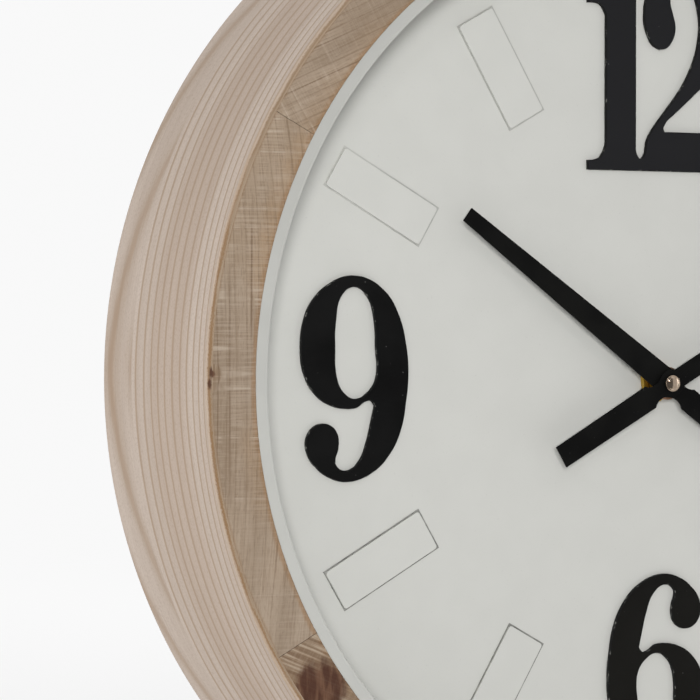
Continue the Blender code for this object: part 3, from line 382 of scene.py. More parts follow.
def piece(name, shape, *finishes, crease=40):
    """Turns a finished bmesh into an object with its faces pointing out."""
    bmesh.ops.remove_doubles(shape, verts=shape.verts, dist=same_point)
    bmesh.ops.recalc_face_normals(shape, faces=shape.faces)
    mesh = bpy.data.meshes.new(name)
    shape.to_mesh(mesh)
    shape.free()
    mesh.shade_smooth()
    mesh.set_sharp_from_angle(angle=math.radians(crease))
    for finish in finishes:
        mesh.materials.append(finish)
    made = bpy.data.objects.new(name, mesh)
    bpy.context.scene.collection.objects.link(made)
    return made


def soften(made, width):
    """Takes the sharpness off a piece's edges."""
    step = made.modifiers.new("soft edges", "BEVEL")
    step.width = width
    step.segments = 2
    step.limit_method = "ANGLE"
    step.angle_limit = math.radians(40)
    step.harden_normals = True
    return made


def fit(made, body, slot, *nodes):
    """Sets a piece on its body, in place of the CAD nodes that it stands for."""
    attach(made, body)
    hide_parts(*nodes)


def note_place(made, name, place):
    """Stores where each point lies in its own plank or strip, for the grain to follow."""
    spots = made.data.attributes.new(name, "FLOAT_VECTOR", "POINT")
    for spot, point in zip(spots.data, made.data.vertices):
        spot.vector = place(point.co)


def shade(red, green, blue):
    """A colour as it looks on a screen, from 0 to 255, as the shader wants it."""

    def linear(value):
        share = value / 255
        return share / 12.92 if share <= 0.04045 else ((share + 0.055) / 1.055) ** 2.4

    return (linear(red), linear(green), linear(blue), 1)


stave_wood = new_finish("stave_wood", Roughness=0.75, Specular_IOR_Level=0.2)
plank = stave_wood.node("Attribute", {"attribute_name": "plank"}, output="Vector")
along, across, deep = stave_wood.parts(plank)
off_middle = (along + 0.5).fraction() - 0.5
bowed = across - off_middle * off_middle * grain_bow
grain = stave_wood.node("CombineXYZ", sockets={0: along, 1: bowed, 2: deep})
at = stave_wood.place()
x, _, z = stave_wood.parts(at)
height = z - centre.z
radius = (x * x + height * height).root()
sway = stave_wood.noise(stave_wood.stretched(grain, (6, 30, 30)), 1, 2)
clouds = stave_wood.noise(stave_wood.stretched(grain, (22, 90, 90)), 1, 3)
stains = stave_wood.noise(at, 15, 2)
fibres = stave_wood.noise(stave_wood.stretched(grain, (70, 1500, 1500)), 1, 3, 0.6)
weave = stave_wood.noise(stave_wood.stretched(plank, (1500, 110, 110)), 1, 2)
dashes = stave_wood.noise(stave_wood.stretched(grain, (420, 1500, 1500)), 1, 2)
smears = stave_wood.noise(at, 150, 3, 0.6)
knot_smears = stave_wood.noise(stave_wood.stretched(at, (420, 420, 70)), 1, 3, 0.6)
sawn = 0.35 + (1 - stave_wood.away(at, sawn_middle).rise(*sawn_reach)) * 0.65
shaded = 1 - stave_wood.away(at, shaded_middle).rise(*shaded_reach)
shaded = shaded.larger(height.rise(*shaded_top))
streaks = stave_wood.noise(stave_wood.stretched(grain, (30, 1000, 1000)), 1, 2)
knot_core = 0
knot_halo = 0
for spot, size in knots:
    ragged = (smears - 0.5) * 0.8 + (knot_smears - 0.5) * 0.3
    near_knot = stave_wood.away(plank, spot) + ragged * size
    knot_core = (1 - near_knot.rise(size * 0.55, size)).larger(knot_core)
    knot_halo = (1 - near_knot.rise(size * 0.8, size * 2.6)).larger(knot_halo)
rings = (bowed / ring_spacing + sway * 3.0 + knot_halo * 0.3).fraction()
ring_line = rings.rise(0.78, 0.91) * (1 - rings.rise(0.93, 1.0))
ring_line = ring_line * (0.25 + height.rise(*plain_below) * 0.75)
dark_rings = stave_wood.noise(stave_wood.stretched(grain, (9, 150, 150)), 1, 2).rise(0.50, 0.64)
fine_cuts = stave_wood.noise(stave_wood.stretched(plank, (640, 12, 12)), 1, 1)
long_cuts = stave_wood.noise(stave_wood.stretched(plank, (130, 4, 4), (3, 0, 0)), 1, 1)
worn = stave_wood.noise(stave_wood.stretched(plank, (60, 260, 260))).rise(0.38, 0.62) * sawn
calm = 1 - knot_halo.rise(0, 0.25)
pale_cuts = (1 - abs(fine_cuts - 0.5).rise(0.01, 0.08)) * worn * 0.38
pale_cuts = pale_cuts.larger((1 - abs(long_cuts - 0.5).rise(0.004, 0.022)) * (0.1 + worn * 0.8))
pale_cuts = pale_cuts * calm
dark_cuts = (1 - abs(fine_cuts - 0.38).rise(0.01, 0.07)) * worn * calm
colour = stave_wood.mottled(clouds, shade(144, 127, 109), shade(165, 148, 130))
colour = stave_wood.blend(shaded * 0.34, colour, shade(124, 106, 88))
colour = stave_wood.blend(stains.rise(0.42, 0.75) * 0.3, colour, shade(163, 139, 112))
tan = stains.rise(0.40, 0.70) * (1 - (radius - smears * 0.004).rise(*tan_edge))
colour = stave_wood.blend(tan * 0.5, colour, shade(160, 129, 95))
edge_brown = 1 - (radius - clouds * 0.0026 - (fibres - 0.5) * 0.002).rise(*sanded_edge)
colour = stave_wood.blend(edge_brown * 0.65, colour, shade(146, 113, 80))
colour = stave_wood.blend(knot_halo * 0.6, colour, shade(124, 97, 70))
streaked = knot_halo.rise(0.02, 0.3)
pale_streaks = streaks.rise(0.54, 0.62) * streaked * 0.5
dark_streaks = (1 - streaks.rise(0.38, 0.46)) * streaked * 0.6
colour = stave_wood.blend(pale_streaks, colour, shade(188, 172, 152))
colour = stave_wood.blend(dark_streaks, colour, shade(100, 75, 56))
strong = 0.5 + knot_halo.rise(0, 0.4) * 0.5
colour = stave_wood.blend(fibres.rise(0.42, 0.72) * strong, colour, shade(130, 110, 90))
rough = weave.rise(0.45, 0.7) * (0.08 + sawn * 0.16)
colour = stave_wood.blend(rough, colour, shade(182, 166, 148))
colour = stave_wood.blend(dashes.rise(0.5, 0.75) * 0.4, colour, shade(126, 107, 88))
colour = stave_wood.blend(ring_line * 0.32, colour, shade(116, 94, 72))
colour = stave_wood.blend(ring_line * dark_rings * 0.3, colour, shade(98, 74, 53))
for line, middle, reach, share in growth_lines:
    off_line = abs(across - line + (sway - 0.5) * 0.0008)
    off_end = abs(along - middle)
    vein = (1 - off_line.rise(0.0001, 0.0005)) * (1 - off_end.rise(reach * 0.4, reach))
    colour = stave_wood.blend(vein * share, colour, shade(98, 74, 53))
colour = stave_wood.blend(dark_cuts * 0.12, colour, shade(124, 106, 88))
colour = stave_wood.blend(pale_cuts * 0.5, colour, shade(198, 183, 166))
outer = (radius + fibres * 0.001 + clouds * 0.0020).rise(*glued_edge)
colour = stave_wood.blend(outer * 0.5, colour, shade(138, 110, 82))
core_colour = stave_wood.blend(knot_smears.rise(0.4, 0.68), shade(72, 44, 34), shade(106, 76, 59))
colour = stave_wood.blend(knot_core * 0.93, colour, core_colour)
stave_wood.feed(
    Base_Color=colour,
    Normal=stave_wood.bump(fibres * 0.4 - ring_line * 0.3 + pale_cuts * 0.5, 0.00018),
)

stave_profile = [
    (frame_radius(front_y) - hoop_thickness, front_y),
    (frame_radius(stave_back_y) - hoop_thickness, stave_back_y),
    (rebate_radius, stave_back_y),
    (rebate_radius, ledge_y),
    (bore_radius, ledge_y),
]
stave_profile += arc((bore_radius + stave_round, front_y + stave_round), stave_round, math.pi)
for number, hour in enumerate(stave_hours):
    middle = math.tau * hour / 12
    joint = stave_joint / bore_radius
    start = math.tau * (hour - 1) / 12 + joint_slips.get(hour - 1, 0) + joint / 2
    end = math.tau * (hour + 1) / 12 + joint_slips.get(hour + 1, 0) - joint / 2
    block = spun(stave_profile, stave_steps, start, end - start)
    stave = piece(f"stave_block_{hour:02d}", block, stave_wood.owner)
    outward = Vector((math.sin(middle), 0, math.cos(middle)))
    onward = Vector((math.cos(middle), 0, -math.sin(middle)))
    note_place(
        stave,
        "plank",
        lambda point: (
            (point - centre).dot(onward) + number,
            (point - centre).dot(outward) + number,
            point.y,
        ),
    )
    fit(soften(stave, stave_softening), "clock", "stave_wood", f"stave_{hour:02d}")

# Hoop
# One thin strip of straight-grained fir is bent to a cone round the staves, and its ends meet
# below. Its grain crowds towards the dial, where brown glue shows, and arches near the wall.
hoop_round = 0.0008
hoop_joint = 0.0002
hoop_steps = 300
grain_sag = 0.0028
sag_reach = (0.02, 0.13)
line_spacing = 0.00505
line_crowding = 1.3
crowding_rate = 300
line_start = 0.95
plain_edge = (0.0505, 0.0520)
arch_spacing = 0.0173
arch_middle = 0.0046
arch_blunting = 0.00004
arch_slope = 0.18
arch_start = 0.57
glue_radius = 0.1878
sawn_radius = (0.1880, 0.1882)

# Two dark stains on the front edge: way round from nine, distance from the axis and half length
edge_stains = ((0.0034, 0.1871, 0.0023), (-0.0006, 0.1876, 0.0023))

hoop_wood = new_finish("hoop_wood", Roughness=0.65, Specular_IOR_Level=0.25)
strip = hoop_wood.node("Attribute", {"attribute_name": "strip"}, output="Vector")
round_way, depth, radius = hoop_wood.parts(strip)
drift = hoop_wood.noise(hoop_wood.stretched(strip, (3, 60, 60)), 1, 1)
waver = hoop_wood.noise(hoop_wood.stretched(strip, (60, 500, 500)), 1, 2)
grain_streaks = hoop_wood.noise(hoop_wood.stretched(strip, (25, 1100, 1100)), 1, 3, 0.6)
pores = hoop_wood.noise(hoop_wood.stretched(strip, (1100, 2400, 2400)), 1, 2)
tone = hoop_wood.noise(hoop_wood.stretched(strip, (5, 110, 110)), 1, 2)
sag = abs(round_way + 0.01).rise(*sag_reach) * grain_sag
crowding = line_crowding / (1 + depth * crowding_rate)
lines = (depth - sag) / line_spacing + drift * 0.8 + waver * 0.08 - crowding + line_start
lines = lines.fraction()
late_wood = lines.rise(0.30, 0.88) * (1 - lines.rise(0.90, 1.0))
fine_line = lines.rise(0.64, 0.82) * (1 - lines.rise(0.86, 1.0))
plain = (depth - sag).rise(*plain_edge)
from_peak = round_way - arch_middle
arch = (from_peak * from_peak + arch_blunting).root() * arch_slope
peaks = depth + arch + (tone - 0.5) * 0.003
peaks = peaks + (waver - 0.5) * 0.0026 + (grain_streaks - 0.5) * 0.0026
narrow = abs(from_peak).rise(0, 0.07)
peak = abs((peaks / arch_spacing + arch_start).fraction() - 0.5) * (0.65 + narrow * 0.6)
peak_line = (1 - peak.rise(0.02, 0.16)) * (1 - narrow * 0.5) * plain
peak_glow = (1 - peak.rise(0.06, 0.38)) * plain
colour = hoop_wood.mottled(tone, shade(189, 175, 163), shade(203, 190, 179))
inward = depth.rise(0.008, 0.018) * (0.58 - depth.rise(0.034, 0.042) * 0.38)
inward = inward.larger(0.12 + (1 - depth.rise(0.002, 0.007)) * 0.18)
colour = hoop_wood.blend(inward, colour, shade(172, 151, 134))
colour = hoop_wood.blend(grain_streaks.rise(0.35, 0.75) * 0.35, colour, shade(178, 162, 148))
colour = hoop_wood.blend(plain * 0.15, colour, shade(178, 162, 147))
colour = hoop_wood.blend(late_wood * (1 - plain) * 0.35, colour, shade(178, 159, 140))
colour = hoop_wood.blend(fine_line * (1 - plain) * 0.7, colour, shade(158, 135, 112))
colour = hoop_wood.blend(peak_glow * 0.55, colour, shade(168, 149, 131))
colour = hoop_wood.blend(peak_line * 0.65, colour, shade(156, 130, 106))
colour = hoop_wood.blend(pores.rise(0.46, 0.70) * 0.38, colour, shade(156, 136, 120))
# The rounded front corner is painted darker: painted shade that tones down its highlight from the
# lamps.
corner = 1 - depth.rise(0.0003, 0.0018)
colour = hoop_wood.blend(corner * 0.5, colour, shade(168, 149, 130))
edge_face = 1 - depth.rise(0.0001, 0.0003)
sawn_edge = hoop_wood.mottled(grain_streaks, shade(146, 127, 106), shade(168, 149, 129))
ragged = (waver - 0.5) * 0.0014 + (pores - 0.5) * 0.0012
glue = radius + ragged + (drift - 0.5) * 0.0008
glue_width = 0.0005 + tone.rise(0.35, 0.65) * 0.0007
glue_line = (1 - (abs(glue - glue_radius) / glue_width).rise(0.1, 1)) * waver.rise(0.2, 0.55)
colour = hoop_wood.blend(edge_face * (1 - glue.rise(*sawn_radius)), colour, sawn_edge)
glue_line = glue_line * (0.85 - round_way.rise(0.04, 0.11) * 0.5)
colour = hoop_wood.blend(glue_line * edge_face, colour, shade(138, 106, 72))
for way, out, size in edge_stains:
    off_way = (round_way - way) / size
    off_out = (radius - out + ragged) / size * 2.8
    stain = 1 - (off_way * off_way + off_out * off_out).root().rise(0.4, 1.2)
    colour = hoop_wood.blend(stain * edge_face * 0.9, colour, shade(76, 46, 33))
hoop_wood.feed(
    Base_Color=colour,
    Normal=hoop_wood.bump(grain_streaks * 0.5 - fine_line * 0.6, 0.00010),
)

hoop_profile = arc(
    (frame_radius(front_y) - hoop_round, front_y + hoop_round), hoop_round, -math.pi / 2
)
hoop_profile += [
    (hoop_outer, hoop_high.y),
    (hoop_outer - hoop_thickness, hoop_high.y),
    (frame_radius(front_y) - hoop_thickness, front_y),
]
hoop_gap = hoop_joint / hoop_outer
bend = spun(hoop_profile, hoop_steps, math.pi + hoop_gap / 2, math.tau - hoop_gap)
hoop = piece("hoop_strip", bend, hoop_wood.owner)


def on_strip(point):
    """How far round from nine o'clock, back from the front edge and out from the axis."""
    off = point - centre
    turned = math.atan2(-off.x, -off.z) % math.tau - math.pi / 2
    return (turned * hoop_outer, point.y - front_y, math.hypot(off.x, off.z))


note_place(hoop, "strip", on_strip)
fit(hoop, "clock", "hoop_wood", "hoop")

# Lining of the recess
# A painted ring covers the inner wall of the wood and shows its rounded front edge as a pale band
# round the dial. Its paint is darkened towards the top as painted shade, and a painted highlight
# runs along its inner edge.
lining_thickness = 0.0047
lining_inner_round = 0.0018
lining_outer_round = 0.0003
highlight_ring = (0.1668, 0.1682)
highlight_depth = (front_y + 0.002, front_y + 0.004)


def painted(name, darker, lighter):
    """A finish of off-white paint, rolled on, with a little grit in it, and its colour."""
    finish = new_finish(name, Roughness=0.55, Specular_IOR_Level=0.25)
    at = finish.place()
    rolling = finish.noise(at, 60, 2)
    grit = finish.noise(at, 1400, 2)
    paint = finish.mottled(rolling, darker, lighter)
    paint = finish.blend(grit.rise(0.66, 0.8) * 0.25, paint, shade(176, 176, 170))
    finish.feed(Normal=finish.bump(grit, 0.00002))
    return finish, paint


lining_paint, colour = painted("lining_paint", shade(186, 186, 181), shade(190, 190, 185))
x, y, z = lining_paint.parts(lining_paint.place())
height = z - centre.z
radius = (x * x + height * height).root()
inner_edge_highlight = (1 - radius.rise(*highlight_ring)) * (1 - y.rise(*highlight_depth))
# The lining paint is darkened towards the top: painted shade.
colour = lining_paint.blend(height.rise(-0.1, 0.15) * 0.3, colour, shade(160, 160, 156))
# A painted highlight runs along the inner edge of the rounded front.
colour = lining_paint.blend(inner_edge_highlight * 0.9, colour, shade(210, 210, 205))
lining_paint.feed(Base_Color=colour)

lining_outer = bore_radius - 10 * same_point
lining_inner = lining_outer - lining_thickness
lining_front = front_y + seat_gap
lining_profile = [(lining_outer, ledge_y), (lining_inner, ledge_y)]
lining_profile += arc(
    (lining_inner + lining_inner_round, lining_front + lining_inner_round),
    lining_inner_round,
    math.pi,
)
lining_profile += arc(
    (lining_outer - lining_outer_round, lining_front + lining_outer_round),
    lining_outer_round,
    -math.pi / 2,
)
lining = piece("lining_ring", spun(lining_profile), lining_paint.owner)
fit(lining, "clock", "white_paint", "recess_lining")

# Dial board
# A thin fibre board, painted on its face, that lies in the rebate behind the staves.
spindle_hole = 0.0043
board_outer = 0.1777
screen_print_pitch = 0.0016

white_paint, colour = painted("white_paint", shade(204, 204, 199), shade(206, 206, 201))
white_paint.feed(Base_Color=colour)
bare_board = new_finish("bare_board", Roughness=0.85)
at = bare_board.place()
x, _, z = bare_board.parts(at)
chips = bare_board.noise(at, 700, 4, 0.65)
clouds = bare_board.noise(at, 24, 3)
strands = bare_board.noise(bare_board.stretched(at, (260, 60, 900)), 1, 2)
mesh_x = abs((x / screen_print_pitch).fraction() - 0.5).rise(0.16, 0.48)
mesh_z = abs((z / screen_print_pitch).fraction() - 0.5).rise(0.16, 0.48)
screen_print = mesh_x.larger(mesh_z)
colour = bare_board.mottled(chips, shade(122, 94, 66), shade(158, 127, 94))
colour = bare_board.blend(clouds.rise(0.35, 0.7) * 0.5, colour, shade(140, 112, 82))
colour = bare_board.blend(strands.rise(0.6, 0.78) * 0.5, colour, shade(92, 68, 46))
colour = bare_board.blend(screen_print * 0.35, colour, shade(104, 79, 55))
bare_board.feed(Base_Color=colour, Normal=bare_board.bump(chips * 0.5 - screen_print, 0.00015))

dial_profile = [
    (spindle_hole, board_low.y),
    (board_outer, board_low.y),
    (board_outer, board_high.y),
    (spindle_hole, board_high.y),
]
dial_shape = spun(dial_profile)
for face in dial_shape.faces:
    face.material_index = int(face.calc_center_median().y > board_low.y + same_point)
dial = piece("painted_dial", dial_shape, white_paint.owner, bare_board.owner)
fit(dial, "clock", "white_paint", "dial_board")

# Board screws
# Six small zinc-plated screws hold the dial board in its rebate from behind.
screw_softening = 0.00015


def from_solid(name, node, *finishes, crease=40):
    """A closed copy of a CAD node's own shape, ready for softer edges."""
    shape = bmesh.new()
    shape.from_mesh(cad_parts[node].data)
    bmesh.ops.remove_doubles(shape, verts=shape.verts, dist=same_point)
    bmesh.ops.dissolve_limit(
        shape, angle_limit=math.radians(0.5), verts=shape.verts, edges=shape.edges
    )
    for face in shape.faces:
        face.material_index = 0
    return piece(name, shape, *finishes, crease=crease)


zinc = new_finish("zinc_plate", Metallic=1.0)
at = zinc.place()
cloud = zinc.noise(at, 260, 3)
scratches = zinc.noise(zinc.stretched(at, (3000, 200, 300)), 1, 2)
colour = zinc.mottled(cloud, shade(176, 178, 178), shade(206, 206, 202))
zinc.feed(
    Base_Color=colour,
    Roughness=0.28 + cloud * 0.2,
    Normal=zinc.bump(scratches + cloud * 0.5, 0.00002),
)
for hour in stave_hours:
    screw = from_solid(f"board_screw_dome_{hour:02d}", f"board_screw_{hour:02d}", zinc.owner)
    fit(soften(screw, screw_softening), "clock", "zinc_plate", f"board_screw_{hour:02d}")

# Batons
# Eight blank plates, painted as the dial is, mark the hours that have no numeral. Under each lies
# a slightly larger dark sheet, a painted shadow that shows round the plate as a fine outline.
shadow_film_margin = 0.0005
shadow_film_slip = Vector((0.00025, 0, 0.00005))
shadow_film_share_of_gap = 0.9
shadow_film_front_y = centre.y - seat_gap * shadow_film_share_of_gap
faint_above = (-0.02, 0.05)
faint_left_of = (-0.122, -0.100)
baton_softening = 0.00012
baton_hours = (1, 2, 4, 5, 7, 8, 10, 11)

baton_shadow_film = new_finish("baton_shadow_film", Roughness=0.8)
at = baton_shadow_film.place()
shadow_mottle = baton_shadow_film.noise(at, 320, 2)
colour = baton_shadow_film.mottled(shadow_mottle, shade(116, 116, 112), shade(150, 150, 145))
x, _, z = baton_shadow_film.parts(at)
# The painted shadow is paler on the upper batons, most of all on those further left.
upper = (z - centre.z).rise(*faint_above) * (0.9 - x.rise(*faint_left_of) * 0.3)
colour = baton_shadow_film.blend(upper, colour, shade(196, 196, 191))
baton_shadow_film.feed(Base_Color=colour)

for hour in baton_hours:
    node = f"baton_{hour:02d}"
    plate = from_solid(f"baton_plate_{hour:02d}", node, white_paint.owner)
    fit(soften(plate, baton_softening), "clock", "white_paint", node)
    low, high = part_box(node)
    middle = (low + high) / 2
    turn = Matrix.Rotation(math.tau * hour / 12, 4, "Y")
    flat = turn.inverted() @ Matrix.Translation(-middle)
    corners = [flat @ vert.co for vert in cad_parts[node].data.vertices]
    spread = Vector(
        (
            2 * (max(corner.x for corner in corners) + shadow_film_margin),
            board_low.y - shadow_film_front_y,
            2 * (max(corner.z for corner in corners) + shadow_film_margin),
        )
    )
    # Each dark sheet sits a little off centre under its plate, to place its painted shadow.
    settle = Vector((middle.x, (board_low.y + shadow_film_front_y) / 2, middle.z)) + shadow_film_slip
    shadow_film_shape = bmesh.new()
    bmesh.ops.create_cube(shadow_film_shape, size=1)
    bmesh.ops.scale(shadow_film_shape, vec=spread, verts=shadow_film_shape.verts)
    bmesh.ops.transform(
        shadow_film_shape, matrix=Matrix.Translation(settle) @ turn, verts=shadow_film_shape.verts
    )
    film = piece(f"baton_shadow_film_{hour:02d}", shadow_film_shape, baton_shadow_film.owner)
    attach(film, "clock")

# Numerals
# Twelve, three, six and nine are cut from sheet, painted matt black and stuck to the dial. Their
# edges are rubbed, and the paint has a few pale specks.
greyer_above = (0.04, 0.08)
browner_below = (0.05, 0.09)

numeral_black = new_finish("numeral_black", Roughness=0.6, Specular_IOR_Level=0.08)
at = numeral_black.place()
dust = numeral_black.noise(at, 620, 1)
wash = numeral_black.noise(at, 45, 2)
colour = numeral_black.mottled(wash, shade(14, 14, 14), shade(22, 22, 22))
height = numeral_black.parts(at)[2] - centre.z
# The black is painted greyer towards the top, a painted sheen from the light above, and browner
# towards the bottom.
colour = numeral_black.blend(height.rise(*greyer_above) * 0.9, colour, shade(37, 37, 39))
browner = (0 - height).rise(*browner_below) * 0.6
colour = numeral_black.blend(browner, colour, shade(31, 30, 27))
colour = numeral_black.blend(dust.rise(0.76, 0.80) * 0.6, colour, shade(110, 110, 108))
numeral_black.feed(Base_Color=colour, Normal=numeral_black.bump(wash, 0.00004))

rubbed_edge = new_finish("rubbed_edge", Roughness=0.6, Specular_IOR_Level=0.15)
at = rubbed_edge.place()
wear = rubbed_edge.noise(at, 480, 3)
colour = rubbed_edge.blend(wear.rise(0.57, 0.72), shade(24, 24, 24), shade(118, 118, 114))
rubbed_edge.feed(Base_Color=colour)

figure_round = 0.0003
figure_corner = math.radians(38)
figure_long_side = 0.012
figure_hold = 0.0012
figure_steps = 5
figure_face = 0.98


def outline_loops(node):
    """The closed lines round the front face of a flat CAD node, as points."""
    shape = bmesh.new()
    shape.from_mesh(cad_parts[node].data)
    bmesh.ops.remove_doubles(shape, verts=shape.verts, dist=same_point)
    shape.normal_update()
    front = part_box(node)[0].y + 10 * same_point
    sides = [
        edge
        for edge in shape.edges
        if all(vert.co.y < front for vert in edge.verts)
        and any(abs(face.normal.y) < 0.5 for face in edge.link_faces)
    ]
    loops = []
    while sides:
        loop = list(sides.pop().verts)
        while loop[-1] != loop[0]:
            step = next(edge for edge in sides if loop[-1] in edge.verts)
            sides.remove(step)
            loop.append(step.other_vert(loop[-1]))
        loops.append([vert.co.copy() for vert in loop[:-1]])
    shape.free()
    return loops


def held_points(loop):
    """A loop's points, with two more on each long side, so that it stays straight."""
    points = []
    for last, here, after in zip(loop[-1:] + loop[:-1], loop, loop[1:] + loop[:1]):
        turn = (here - last).angle(after - here)
        points.append((here, turn > figure_corner))
        side = after - here
        if side.length > figure_long_side:
            hold = side.normalized() * figure_hold
            points += [(here + hold, False), (after - hold, False)]
    return points


def smooth_figure(name, node, *finishes):
    """A flat figure with the CAD node's outline drawn smooth through its corners."""
    low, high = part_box(node)
    line = bpy.data.curves.new(name, "CURVE")
    line.dimensions = "2D"
    line.fill_mode = "BOTH"
    line.resolution_u = figure_steps
    line.bevel_depth = figure_round
    line.bevel_resolution = 2
    line.offset = -figure_round
    line.extrude = (high.y - low.y) / 2 - figure_round
    for loop in outline_loops(node):
        points = held_points(loop)
        spline = line.splines.new("BEZIER")
        spline.use_cyclic_u = True
        spline.bezier_points.add(len(points) - 1)
        for knot, (point, sharp) in zip(spline.bezier_points, points):
            knot.co = (point.x, point.z, 0)
            knot.handle_left_type = knot.handle_right_type = "VECTOR" if sharp else "AUTO"
    drawing = bpy.data.objects.new(name, line)
    bpy.context.scene.collection.objects.link(drawing)
    drawn = bpy.data.meshes.new_from_object(
        drawing.evaluated_get(bpy.context.evaluated_depsgraph_get())
    )
    bpy.data.objects.remove(drawing)
    shape = bmesh.new()
    shape.from_mesh(drawn)
    stand = Matrix.Translation((0, (low.y + high.y) / 2, 0)) @ Matrix.Rotation(math.pi / 2, 4, "X")
    bmesh.ops.transform(shape, matrix=stand, verts=shape.verts)
    bmesh.ops.remove_doubles(shape, verts=shape.verts, dist=same_point)
    bmesh.ops.recalc_face_normals(shape, faces=shape.faces)
    for face in shape.faces:
        face.material_index = int(abs(face.normal.y) < figure_face)
    return piece(name, shape, *finishes, crease=15)


for hour in (12, 3, 6, 9):
    node = f"numeral_{hour}"
    figure = smooth_figure(f"figure_{hour}", node, numeral_black.owner, rubbed_edge.owner)
    fit(figure, "clock", "numeral_black", node)

# Hanger
# A zinc-plated plate with a keyhole, screwed to the back of the two upper staves.
hanger_softening = 0.0002

hanger = from_solid("hanger_keyhole_plate", "hanger_plate", zinc.owner)
fit(soften(hanger, hanger_softening), "clock", "zinc_plate", "hanger_plate")
for side in ("left", "right"):
    screw = from_solid(f"hanger_screw_dome_{side}", f"hanger_screw_{side}", zinc.owner)
    fit(soften(screw, screw_softening), "clock", "zinc_plate", f"hanger_screw_{side}")

# Movement
# A battery movement in a black plastic case sits behind the dial. Its wheels, coil and circuit are
# inside, and only the case, the cell and the setting knob show from behind.
case_softening = 0.0002
knob_softening = 0.00015
contact_softening = 0.0001

case_plastic = new_finish("case_plastic", Roughness=0.45)
at = case_plastic.place()
spark = case_plastic.noise(at, 1600, 2)
haze = case_plastic.noise(at, 60, 2)
colour = case_plastic.mottled(haze, shade(32, 32, 33), shade(42, 42, 43))
case_plastic.feed(
    Base_Color=colour, Roughness=0.38 + spark * 0.2, Normal=case_plastic.bump(spark, 0.00006)
)
wheel_plastic = new_finish("wheel_plastic", Roughness=0.4)
at = wheel_plastic.place()
flow = wheel_plastic.noise(at, 240, 2)
colour = wheel_plastic.mottled(flow, shade(216, 213, 202), shade(228, 226, 217))
wheel_plastic.feed(Base_Color=colour, Normal=wheel_plastic.bump(flow, 0.00003))
brass = new_finish("brass", Metallic=1.0)
at = brass.place()
tarnish = brass.noise(at, 420, 3)
turning = brass.noise(at, 2600, 2)
colour = brass.blend(tarnish.rise(0.3, 0.75), shade(218, 184, 84), shade(196, 158, 62))
brass.feed(
    Base_Color=colour, Roughness=0.42 + tarnish * 0.2, Normal=brass.bump(turning, 0.00002)
)
iron = new_finish("iron", Metallic=1.0)
at = iron.place()
stain = iron.noise(at, 300, 3)
colour = iron.mottled(stain, shade(150, 150, 150), shade(176, 176, 174))
iron.feed(Base_Color=colour, Roughness=0.35 + stain * 0.3, Normal=iron.bump(stain, 0.00003))
magnet = new_finish("magnet", Metallic=0.6)
at = magnet.place()
sinter = magnet.noise(at, 1800, 2)
colour = magnet.mottled(sinter, shade(74, 72, 70), shade(98, 95, 92))
magnet.feed(Base_Color=colour, Roughness=0.5 + sinter * 0.2, Normal=magnet.bump(sinter, 0.00003))
copper = new_finish("copper", Metallic=1.0)
at = copper.place()
turns_of_wire = copper.noise(copper.stretched(at, (200, 200, 7000)), 1, 1)
colour = copper.mottled(turns_of_wire, shade(150, 78, 42), shade(204, 122, 76))
copper.feed(
    Base_Color=colour,
    Roughness=0.3 + turns_of_wire * 0.2,
    Normal=copper.bump(turns_of_wire, 0.00008),
)
circuit = new_finish("circuit_board", Roughness=0.35)
at = circuit.place()
mask = circuit.noise(at, 700, 2)
colour = circuit.blend(mask.rise(0.35, 0.65), shade(20, 78, 46), shade(32, 100, 60))
circuit.feed(Base_Color=colour, Normal=circuit.bump(mask, 0.00004))
rubber = new_finish("rubber", Roughness=0.8)
at = rubber.place()
bloom = rubber.noise(at, 900, 2)
colour = rubber.mottled(bloom, shade(30, 30, 30), shade(44, 44, 43))
rubber.feed(Base_Color=colour, Normal=rubber.bump(bloom, 0.00004))

inner_finishes = {
    "stator": iron,
    "coil_core": iron,
    "coil": copper,
    "circuit_board": circuit,
    "quartz_crystal": zinc,
    "rotor": magnet,
    "fifth_wheel": wheel_plastic,
    "second_wheel": wheel_plastic,
    "third_wheel": brass,
    "centre_wheel": brass,
    "minute_arbor": zinc,
    "minute_wheel": wheel_plastic,
    "hour_wheel": wheel_plastic,
    "gasket": rubber,
}
for node, finish in inner_finishes.items():
    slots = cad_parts[node].data.materials
    slots.clear()
    slots.append(finish.owner)

for node in ("case_front", "case_back"):
    shell = from_solid(f"{node}_moulding", node, case_plastic.owner)
    fit(soften(shell, case_softening), "clock", "case_plastic", node)
knob = from_solid("setting_knob_moulding", "setting_knob", wheel_plastic.owner)
fit(soften(knob, knob_softening), "setting_group", "wheel_plastic", "setting_knob")
for node in ("contact_plus", "contact_minus"):
    contact = from_solid(f"{node}_spring", node, zinc.owner)
    fit(soften(contact, contact_softening), "clock", "zinc_plate", node)

# Cell
# One AA cell in a plain printed sleeve lies across the bottom of the case.
cell_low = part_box("battery")[0]
far_cap = 0.0490
near_cap = 0.0024
copper_band = 0.0345
sharp_step = 0.0001

